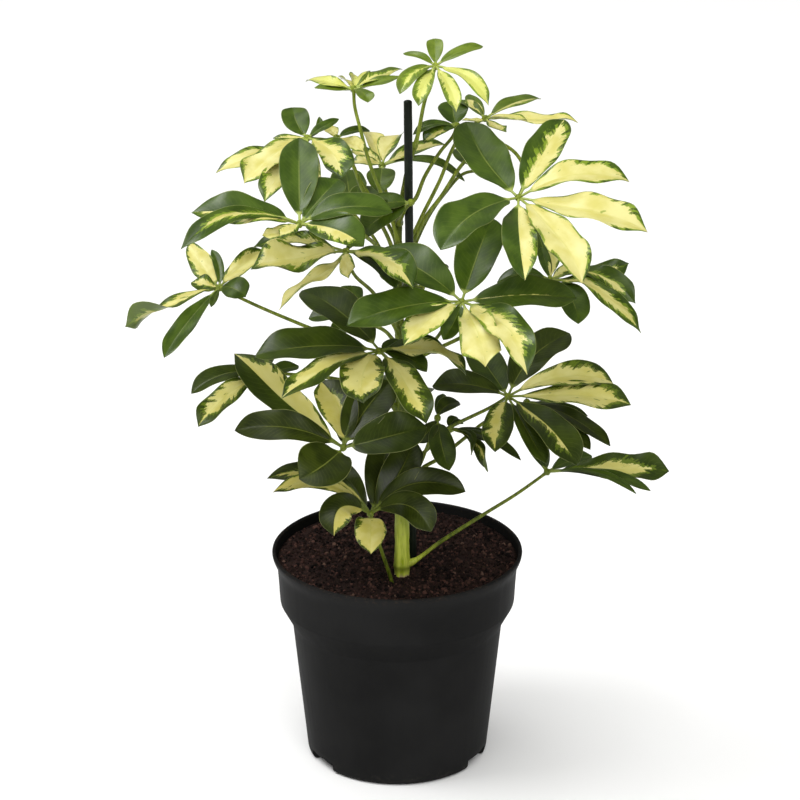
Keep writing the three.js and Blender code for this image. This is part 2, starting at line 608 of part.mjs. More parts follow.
function potSolid() {
  const outer = turned([[0, 0], ...OUTSIDE, [0, POT_HEIGHT]]);
  const above = POT_HEIGHT + OVERRUN;
  const mouth = [[MOUTH_RADIUS, POT_HEIGHT], [MOUTH_RADIUS, above], [0, above]];
  let cavity = turned([[0, FLOOR], ...inside(0), ...mouth]);
  NOTCH_CENTRES.forEach((centre) => {
    cavity = cavity.subtract(notchHousing(centre, 0));
  });
  let pot = outer.subtract(cavity);
  NOTCH_CENTRES.forEach((centre) => {
    const back = POT_BASE_RADIUS - NOTCH_DEPTH;
    const within = back - WALL - OVERRUN;
    const drainTop = DRAIN_SILL + DRAIN_HEIGHT;
    pot = pot.subtract(sector(centre, NOTCH_SPAN, back, POT_RIM_RADIUS, -OVERRUN, NOTCH_HEIGHT));
    pot = pot.subtract(sector(centre, DRAIN_SPAN, within, POT_RIM_RADIUS, DRAIN_SILL, drainTop));
  });
  return mainBody(pot);
}

function soilSolid(cutters) {
  const top = POT_HEIGHT - SOIL_DROP;
  const edge = MOUTH_RADIUS - MOUTH_LEDGE - GAP;
  const crown = SOIL_RINGS.map((r) => [edge * r, top + SOIL_MOUND * (1 - r * r)]);
  let soil = turned([[0, FLOOR + GAP], ...inside(GAP), ...crown, [0, top + SOIL_MOUND]]);
  NOTCH_CENTRES.forEach((centre) => {
    soil = soil.subtract(notchHousing(centre, GAP));
  });
  cutters.forEach((cutter) => {
    soil = soil.subtract(cutter);
  });
  return mainBody(soil);
}

// ---------- stake and trunk ----------

function stakeSolid(clearance) {
  const top = sight(...STAKE_TOP);
  const foot = sight(...STAKE_FOOT);
  const down = foot.clone().sub(top).normalize();
  const buried = foot.clone().addScaledVector(down, STAKE_SUNK + clearance);
  const r = STAKE_RADIUS + clearance;
  const crown = top.clone().addScaledVector(down, -clearance);
  const rounded = crown.clone().addScaledVector(down, STAKE_ROUNDING);
  return rod([buried, rounded, crown], [r, r, STAKE_CROWN_SHARE * r], STAKE_SIDES);
}

function trunkCentres() {
  const centres = TRUNK.map(([u, v, y]) => sight(u, v, y));
  centres.unshift(centres[0].clone().add(new THREE.Vector3(...TRUNK_FOOT_SHIFT, -TRUNK_SUNK)));
  return centres;
}

function trunkSolid(clearance) {
  const centres = trunkCentres();
  const radii = [TRUNK[0][3] * TRUNK_FOOT_SHARE, ...TRUNK.map((row) => row[3])].map((r) => r + clearance);
  centres[0].z -= clearance;
  const top = centres[centres.length - 1];
  const below = centres[centres.length - 2];
  top.addScaledVector(top.clone().sub(below).normalize(), clearance);
  return rod(centres, radii, TRUNK_SIDES);
}

// Centre of the trunk at row v of the view.
function trunkAt(row) {
  const above = TRUNK.findIndex(([, v]) => v <= row);
  const upper = TRUNK[above];
  const lower = TRUNK[Math.max(above - 1, 0)];
  const share = lower[1] === upper[1] ? 0 : (lower[1] - row) / (lower[1] - upper[1]);
  const mix = (k) => lower[k] + (upper[k] - lower[k]) * share;
  return sight(mix(0), row, mix(2));
}

// ---------- leaves ----------

// Half width of a leaflet at the share s of its length.
function halfWidth(s, width, peak) {
  const x = Math.max(0, (s - STALK_SHARE) / (1 - STALK_SHARE));
  const rise = peak * OUTLINE_POWER;
  const fall = (1 - peak) * OUTLINE_POWER;
  const shape = (t) => t ** rise * (1 - t) ** fall;
  return Math.max(STALK_HALF_WIDTH * (1 - x), (0.5 * width * shape(x)) / shape(peak));
}

// The leaflet's midrib as a quadratic curve, with its frame: along, side and top directions.
function midrib(leaf, leaflet) {
  const [hubU, hubV, hubY] = leaf.hub;
  const hub = sight(hubU, hubV, hubY);
  const [u, v] = leaflet.tip;
  const depth = hub.clone().sub(EYE).dot(AHEAD);
  const scale = depth / VIEW_FOCUS;
  const fallBack = leaf.lean[0] * (u - hubU) * scale + leaf.lean[1] * (hubV - v) * scale;
  const tip = EYE.clone().addScaledVector(sightLine(u, v), depth + fallBack - leaflet.near);
  const normal = RIGHT.clone().multiplyScalar(leaf.lean[0])
    .addScaledVector(UP, leaf.lean[1]).sub(AHEAD).normalize();
  const du = u - hubU;
  const dv = v - hubV;
  const side = RIGHT.clone().multiplyScalar(dv).addScaledVector(UP, du).divideScalar(Math.hypot(du, dv));
  const middle = hub.clone().add(tip).multiplyScalar(0.5)
    .addScaledVector(side, 2 * leaflet.bow * scale)
    .addScaledVector(AHEAD, -2 * leaflet.arch);
  const curve = new THREE.QuadraticBezierCurve3(hub, middle, tip);
  const roll = THREE.MathUtils.degToRad(leaflet.roll);
  return (s) => {
    const along = curve.getTangent(s);
    const flat = normal.clone().cross(along).normalize();
    const top = along.clone().cross(flat);
    const left = flat.clone().multiplyScalar(Math.cos(roll)).addScaledVector(top, Math.sin(roll));
    return { at: curve.getPoint(s), left, top: along.clone().cross(left) };
  };
}

// Cross sections along a leaflet, for those shorter than LENGTHS[0], LENGTHS[1] and the rest.
const LENGTHS = [40, 84];
const STATIONS = [[0, 0.2, 0.6, 1], [0, 0.16, 0.42, 0.74, 1], [0, 0.14, 0.36, 0.62, 0.85, 1]];
const CUPPING = 0.2;             // rise of the margins over the half width

function leafletSolid(leaf, leaflet) {
  const frameAt = midrib(leaf, leaflet);
  const length = frameAt(0).at.distanceTo(frameAt(1).at);
  const stations = STATIONS[LENGTHS.filter((limit) => length >= limit).length];
  // Places across the blade: its two margins, and the midrib between them on a wide blade.
  const places = leaflet.width < FLAT_WIDTH ? [1, -1] : [1, 0, -1];
  const points = [];
  stations.slice(0, -1).forEach((s) => {
    const { at, left, top } = frameAt(s);
    const half = halfWidth(s, leaflet.width, leaflet.peak);
    const rise = s < STALK_SHARE || places.length === 2 ? 0 : CUPPING * half;
    [0.5, -0.5].forEach((layer) => {
      const base = at.clone().addScaledVector(top, layer * BLADE_THICKNESS);
      places.forEach((place) => {
        points.push(base.clone()
          .addScaledVector(left, place * half)
          .addScaledVector(top, Math.abs(place) * rise));
      });
    });
  });
  const end = frameAt(1);
  [0.5, -0.5].forEach((layer) => {
    points.push(end.at.clone().addScaledVector(end.top, layer * BLADE_THICKNESS));
  });
  // Each station holds its top points from left to right, then those of the underside. The last
  // two points are the tip's top and underside.
  const n = places.length;
  const ring = 2 * n;
  const last = ring * (stations.length - 2);
  const tip = last + ring;
  const faces = [];
  for (let a = 0; a < last; a += ring) {
    const b = a + ring;
    for (let k = 0; k < n - 1; k += 1) {
      faces.push([a + k, a + k + 1, b + k], [a + k + 1, b + k + 1, b + k]);
      faces.push([a + n + k, b + n + k, a + n + k + 1], [a + n + k + 1, b + n + k, b + n + k + 1]);
    }
    faces.push([a, b + n, a + n], [a, b, b + n]);
    faces.push([a + n - 1, b + ring - 1, b + n - 1], [a + n - 1, a + ring - 1, b + ring - 1]);
  }
  for (let k = 0; k < n - 1; k += 1) {
    faces.push([k, k + n + 1, k + 1], [k, k + n, k + n + 1]);
    faces.push([last + k, last + k + 1, tip], [last + n + k, tip + 1, last + n + k + 1]);
  }
  faces.push([last, tip + 1, last + n], [last, tip, tip + 1]);
  faces.push([last + n - 1, tip + 1, tip], [last + n - 1, last + ring - 1, tip + 1]);
  return solidFrom(geometryFrom(points, faces));
}

function petioleSolid(leaf, clearance) {
  const centres = leaf.route.map((place) => sight(...place));
  if (leaf.from === null) {
    const foot = centres[0];
    const down = new THREE.Vector3(...SHOOT_FOOT_SHIFT, -SHOOT_SUNK - clearance);
    centres.unshift(foot.clone().add(down));
  } else {
    centres.unshift(trunkAt(leaf.from));
  }
  centres.push(sight(...leaf.hub));
  const curve = new THREE.CatmullRomCurve3(centres, false, "centripetal");
  const count = centres.length + 1;
  const rings = Array.from({ length: count + 1 }, (_, i) => curve.getPointAt(i / count));
  const radii = rings.map((_, i) => {
    const share = i / count;
    return PETIOLE_FOOT_RADIUS + (PETIOLE_RADIUS - PETIOLE_FOOT_RADIUS) * share + clearance;
  });
  return rod(rings, radii, PETIOLE_SIDES);
}

function leafSolid(leaf, trunkClearance) {
  const hub = sight(...leaf.hub);
  const knob = solidFrom(new THREE.OctahedronGeometry(HUB_RADIUS, 0).translate(hub.x, hub.y, hub.z));
  const parts = [petioleSolid(leaf, 0), knob, ...leaf.blades.map((row) => leafletSolid(leaf, row))];
  return mainBody(unite(parts).subtract(trunkClearance));
}

// ---------- the object ----------

const MATERIALS = {
  pot: { color: 0x1f2021, roughness: 0.55, metalness: 0 },
  soil: { color: 0x2b1d16, roughness: 0.98, metalness: 0 },
  stake: { color: 0x16201c, roughness: 0.45, metalness: 0 },
  stem: { color: 0x9aa63c, roughness: 0.5, metalness: 0 },
  leaf: { color: 0x55702a, roughness: 0.35, metalness: 0 },
};

const plant = new THREE.Group();
plant.name = "potted_umbrella_plant";

function addMesh(name, solid, material) {
  const mesh = new THREE.Mesh(geometryOf(solid), new THREE.MeshStandardMaterial(MATERIALS[material]));
  mesh.name = name;
  plant.add(mesh);
}

const shoot = LEAVES.leaf_22;
addMesh("pot", potSolid(), "pot");
addMesh("soil", soilSolid([trunkSolid(GAP), stakeSolid(GAP), petioleSolid(shoot, GAP)]), "soil");
addMesh("stake", stakeSolid(0), "stake");
addMesh("trunk", trunkSolid(0), "stem");
const trunkRoom = trunkSolid(GAP);
Object.entries(LEAVES).forEach(([name, leaf]) => {
  addMesh(name, leafSolid(leaf, trunkRoom), "leaf");
});

export default plant;
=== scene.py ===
"""Potted umbrella plant: the finished look of a variegated plant in its nursery pot."""

import functools
import math

import bpy
import numpy as np
from bpy.props import FloatProperty, FloatVectorProperty, IntProperty, PointerProperty
from bpy.types import Operator, Panel, PropertyGroup
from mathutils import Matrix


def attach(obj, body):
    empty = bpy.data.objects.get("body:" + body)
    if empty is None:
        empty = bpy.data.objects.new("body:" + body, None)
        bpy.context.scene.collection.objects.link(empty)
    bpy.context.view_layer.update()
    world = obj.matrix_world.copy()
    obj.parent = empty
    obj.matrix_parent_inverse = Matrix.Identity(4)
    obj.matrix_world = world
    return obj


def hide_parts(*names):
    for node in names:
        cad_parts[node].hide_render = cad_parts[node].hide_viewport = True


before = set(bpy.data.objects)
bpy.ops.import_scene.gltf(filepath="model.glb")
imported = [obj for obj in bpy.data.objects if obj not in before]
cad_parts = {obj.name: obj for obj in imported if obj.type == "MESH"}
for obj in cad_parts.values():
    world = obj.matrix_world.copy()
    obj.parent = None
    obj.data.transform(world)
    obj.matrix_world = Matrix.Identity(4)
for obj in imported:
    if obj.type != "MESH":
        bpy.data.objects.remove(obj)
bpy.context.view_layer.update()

bl_info = {
    "name": "Potted umbrella plant",
    "version": (1, 0, 0),
    "blender": (4, 5, 0),
    "location": "3D View > Sidebar > Plant",
    "description": "Builds a variegated umbrella plant in its nursery pot over the part's frame",
    "category": "Add Mesh",
}

MM = 0.001

# ---------- the front view that places the plant, in mm ----------
# Places are (u, v) in a front view 800 wide and 800 high, with a depth y.

EYE = np.array((1.9, -1866.8, 977.1))
PITCH = math.radians(21.1)
FOCUS = 3000.0                  # focal length, in steps of the view
CENTRE = 400.0
RIGHT = np.array((1.0, 0.0, 0.0))
UP = np.array((0.0, math.sin(PITCH), math.cos(PITCH)))
AHEAD = np.array((0.0, math.cos(PITCH), -math.sin(PITCH)))

# ---------- the pot, in mm ----------

BASE_RADIUS = 62.1
FOOT_TOP = 3.5                  # height from which the wall tapers evenly
SHOULDER = (71.8, 98.0)         # radius and height at the foot of the shoulder
TAPER_HEIGHTS = (12, 25, 45, 65, 85, 94, 97)
ANGLE_STEP = 2.5                # degrees
NOTCH_CENTRES = (-57.0, 63.0, 183.0)   # degrees about z, from -Y towards +X
NOTCH_SPAN = 23.0               # degrees
NOTCH_HEIGHT = 7.0
NOTCH_BACK = 56.1               # radius of the wall behind a notch
HOUSING_SPAN = NOTCH_SPAN + 4.2  # degrees of the bulge over a notch, inside the pot
DRAIN_SPAN = 11.0               # degrees
DRAIN_DEPTH = 3.0
DRAIN_ROWS = (5, 6)             # rows of the foot that are the drain's back wall
SIDE_WIDTH = 0.5                # degrees over which a notch's side goes in
SIDE_ANGLES = (-0.35, 0.35)     # degrees, the two points of a side

# Radius and height from the shoulder over the rim and down the inside to the floor.
POT_WALL = (
    (SHOULDER[0] + 0.1, 97.8), (SHOULDER[0] + 0.55, 98.6), (74.4, 102.4), (77.2, 107.6),
    (79.2, 111.4), (79.75, 112.4), (79.98, 113.4), (80.3, 118), (80.7, 126), (81.1, 132),
    (81.4, 135.8), (81.8, 138.4), (82.5, 140.6), (83.2, 142.2), (84.0, 144.0), (84.6, 145.6),
    (84.9, 146.9), (85.0, 147.7), (84.85, 148.4), (84.4, 148.85), (83.8, 149.0),
    (83.1, 148.9), (82.6, 148.5), (82.35, 147.9), (82.2, 146.8), (82.05, 143.4),
    (80.2, 137.2), (78.6, 120), (78.1, 113.2), (77.4, 111.6), (70.5, 99.2), (69.9, 97.8),
    (63, 32), (60.9, 11),
)
# The pot's floor, inside: each row is the plain place, and the place over a notch.
POT_FLOOR = (
    ((60.8, 9.4), (60.7, 9.3)), ((60.7, 8.8), (54.6, 9.1)), ((60.4, 4), (54.1, 8.5)),
    ((60.1, 2.6), (54.1, 2.7)), ((59.6, 2.2), (53.8, 2.3)), ((50, 2.2), (50, 2.2)),
)

# ---------- the soil, stake and trunk, in mm ----------

MOUTH_RADIUS = 82.3
SOIL_TOP = 143.0
SOIL_MOUND = 1.0
SOIL_SETTLED = 0.4
SOIL_MARGIN = 0.5               # how far the soil's outer ring dips at the wall
SOIL_WAVES = ((0.7, 4, 26), (0.45, 9, 8))   # height, seed and length of the unevenness
SOIL_SIDES = 120
# Radius and height of the side that the pot hides, from its floor up.
SOIL_HIDDEN = ((30, 2.7), (53.4, 2.7), (53.4, 9.8), (59.8, 10), (62.6, 32), (69.4, 97.6),
               (76.9, 111.8), (77.7, 114), (79.7, 137), (81.4, 141.6))
# Radii of the rings on top, from the wall to the middle.
SOIL_RINGS = (81.65, 79.5, 76, 71, 65, 58, 50, 42, 34, 26, 18, 11, 5)
STREWN_RADIUS = 80.3            # of the soil that has grains
STREWN_SIDES = 48
STREWN_RINGS = 12

STAKE_TOP = (407.8, 100, -9)    # u, v and depth y
STAKE_FOOT = (412.5, 560, -17)
STAKE_SUNK = 100.0
STAKE_RADIUS = 2.75
STAKE_STEPS = 40
STAKE_UNEVEN = 0.05
STAKE_END = 1.3                 # how far the rounded end reaches
TRUNK_SUNK = 55.0               # how far the trunk's foot goes into the soil
SHOOT_SUNK = 22.0               # the same for a stalk that grows from the soil

# Trunk rows: u, v, depth y, radius.
TRUNK = [
    (402, 574, -31, 5.2),
    (402, 563, -31, 5.3),
    (402, 540, -30, 4.9),
    (402, 515, -28, 4.9),
    (402.5, 490, -25, 4.8),
    (403, 460, -20, 4.4),
    (401.5, 430, -19, 4.1),
    (400.5, 400, -18, 3.8),
    (400, 360, -15, 3.4),
    (399.5, 320, -11, 3.0),
    (398.5, 285, -7, 2.7),
    (398.5, 250, -3, 2.4),
    (399, 225, 1, 2.2),
    (403, 195, 3, 2.0),
    (409, 165, 3, 1.7),
    (414.8, 147, 2, 1.5),
]
TRUNK_STEPS = 420
TRUNK_SIDES = 20
TRUNK_DARK_FROM = 6             # place, counted from the buried foot, above which it is darker
TRUNK_RING = (5.5, 2.6, 0.16)   # way above the first row, reach and rise of the ring at the soil
TRUNK_UNEVEN = ((0.02, 0.31, 0), (0.012, 0.83, 2))   # share of the radius, pace and phase
SCAR_RISE = 0.3                 # at a radius of 4
SCAR_REACH = 1.3

# ---------- the leaves, in mm ----------

STALK_SHARE = 0.1        # part of a leaflet's length that is bare stalk
STALK_HALF = 0.85        # half the thickness of that stalk
BLADE_RUN = 0.07         # part of the length over which the stalk becomes the blade
OUTLINE_POWER = 1.2
POINT_FROM = 0.8         # share of the blade from which it runs to a point
CUPPING = 0.27           # rise of a leaflet's margins over its half width
HALF_THICK = 0.26        # half the thickness of a blade
RIB_GROOVE = 0.2         # depth of the midrib's groove on the upper side
RIB_RIDGE = 0.75         # height of the midrib on the underside
RIB_HALF = 0.7
WAVE_LENGTH = 34.0       # length of one wave of the margins
WAVE_HEIGHT = 0.1        # rise of the waves over the half width
SWAY = 0.011             # rise of a whole blade's waves over its length
DROOP = 0.045            # drop of a light tip over the leaflet's length
DROOP_FROM = 0.82
TWIST_FROM = 0.3
CREAM_FULL = 9           # the light share that makes a whole half light
HUB_RADIUS = 2.4
HUB_SIDES = 12
HUB_RINGS = 6
PETIOLE_RADIUS = 1.05
PETIOLE_FOOT = 1.45
PETIOLE_SIDES = 12
LEAF_SEED = 700
COLLAR = (0.6, 1.5)      # thickening of a young stalk at the trunk, and what age adds
COLLAR_RUN = (3.2, 3.5)  # its length, and what age adds
NECK = 0.35              # thickening of a stalk below the leaflets
NECK_RUN = 3.0

# ---------- the materials and the stage ----------

SIDE_VEINS = 19.0        # side veins along a leaflet
FINE_VEINS = 46.0
VEIN_SLANT = -0.17
FLOOR_REACH = 9000.0     # mm
FLOOR_DROP = 0.3         # mm
SUN_TILT = (math.radians(14), math.radians(-5), 0.0)
SENSOR = 36.0            # mm
# Where the bare trunk's bark is its own paler green, painted brighter still as light,
# and its left side painted darker as shade: x, y and z in metres,
# each from where it starts to where it is full.
LIT_BARK_X = (0.03, 0.01)
LIT_BARK_Y = (-0.040, -0.038)
LIT_BARK_Z = (0.205, 0.158)
SHADED_X = (0.0004, -0.0012)
# Heights on the pot, in metres, in the same way: the shoulder band that is painted darker
# as shade, and the dust at the rim and the foot.
SHADED_SHOULDER_START = (0.0965, 0.099)
SHADED_SHOULDER_STOP = (0.115, 0.111)
RIM_DUST = (0.143, 0.149)
FOOT_DUST = (0.012, 0.0)
GRAIN_TURN = 6.283       # radians about each axis, nearly a full turn
GRAIN_FLATNESS = 0.75    # height of a grain over its width
LUMP_SCALE = 900.0
LUMP_HEIGHT = 0.0022     # m
# Soft lamps: place, aim and size in metres, and strength over the side light's power.
LAMPS = {
    "left": ((-1.2, -0.3, 2.1), (0.0, 0.0, 0.3), 0.9, 1.4),
    "front": ((0.6, -2.2, 1.6), (0.0, 0.0, 0.15), 1.2, 1.3),
    "behind": ((-0.55, 0.65, 2.3), (0.0, 0.0, 0.3), 0.8, 0.3),
}
ROOM_COLOUR = (1.0, 0.985, 0.92, 1.0)
ROOM_STRENGTH = 0.17


def blade(tip, width, near=0, arch=4, bow=0, roll=0, peak=0.55, cream=(0, 0), twist=0, wave=1):
    """A leaflet. near lifts its tip to the viewer, arch its middle, bow bends it to the left.

    roll turns it about its midrib, twist turns the tip further, peak is the widest place,
    wave scales its waviness, and cream is the light share of the left and right half, 0 to 9.
    """
    return dict(tip=tip, width=width, near=near, arch=arch, bow=bow, roll=roll, peak=peak,
                cream=cream, twist=twist, wave=wave)


def leaf(hub, lean, start, route, blades):
    """A leaf: hub (u, v, y), how its plane leans, its row on the trunk and its stalk's route."""
    return dict(hub=hub, lean=lean, start=start, route=route, blades=blades)


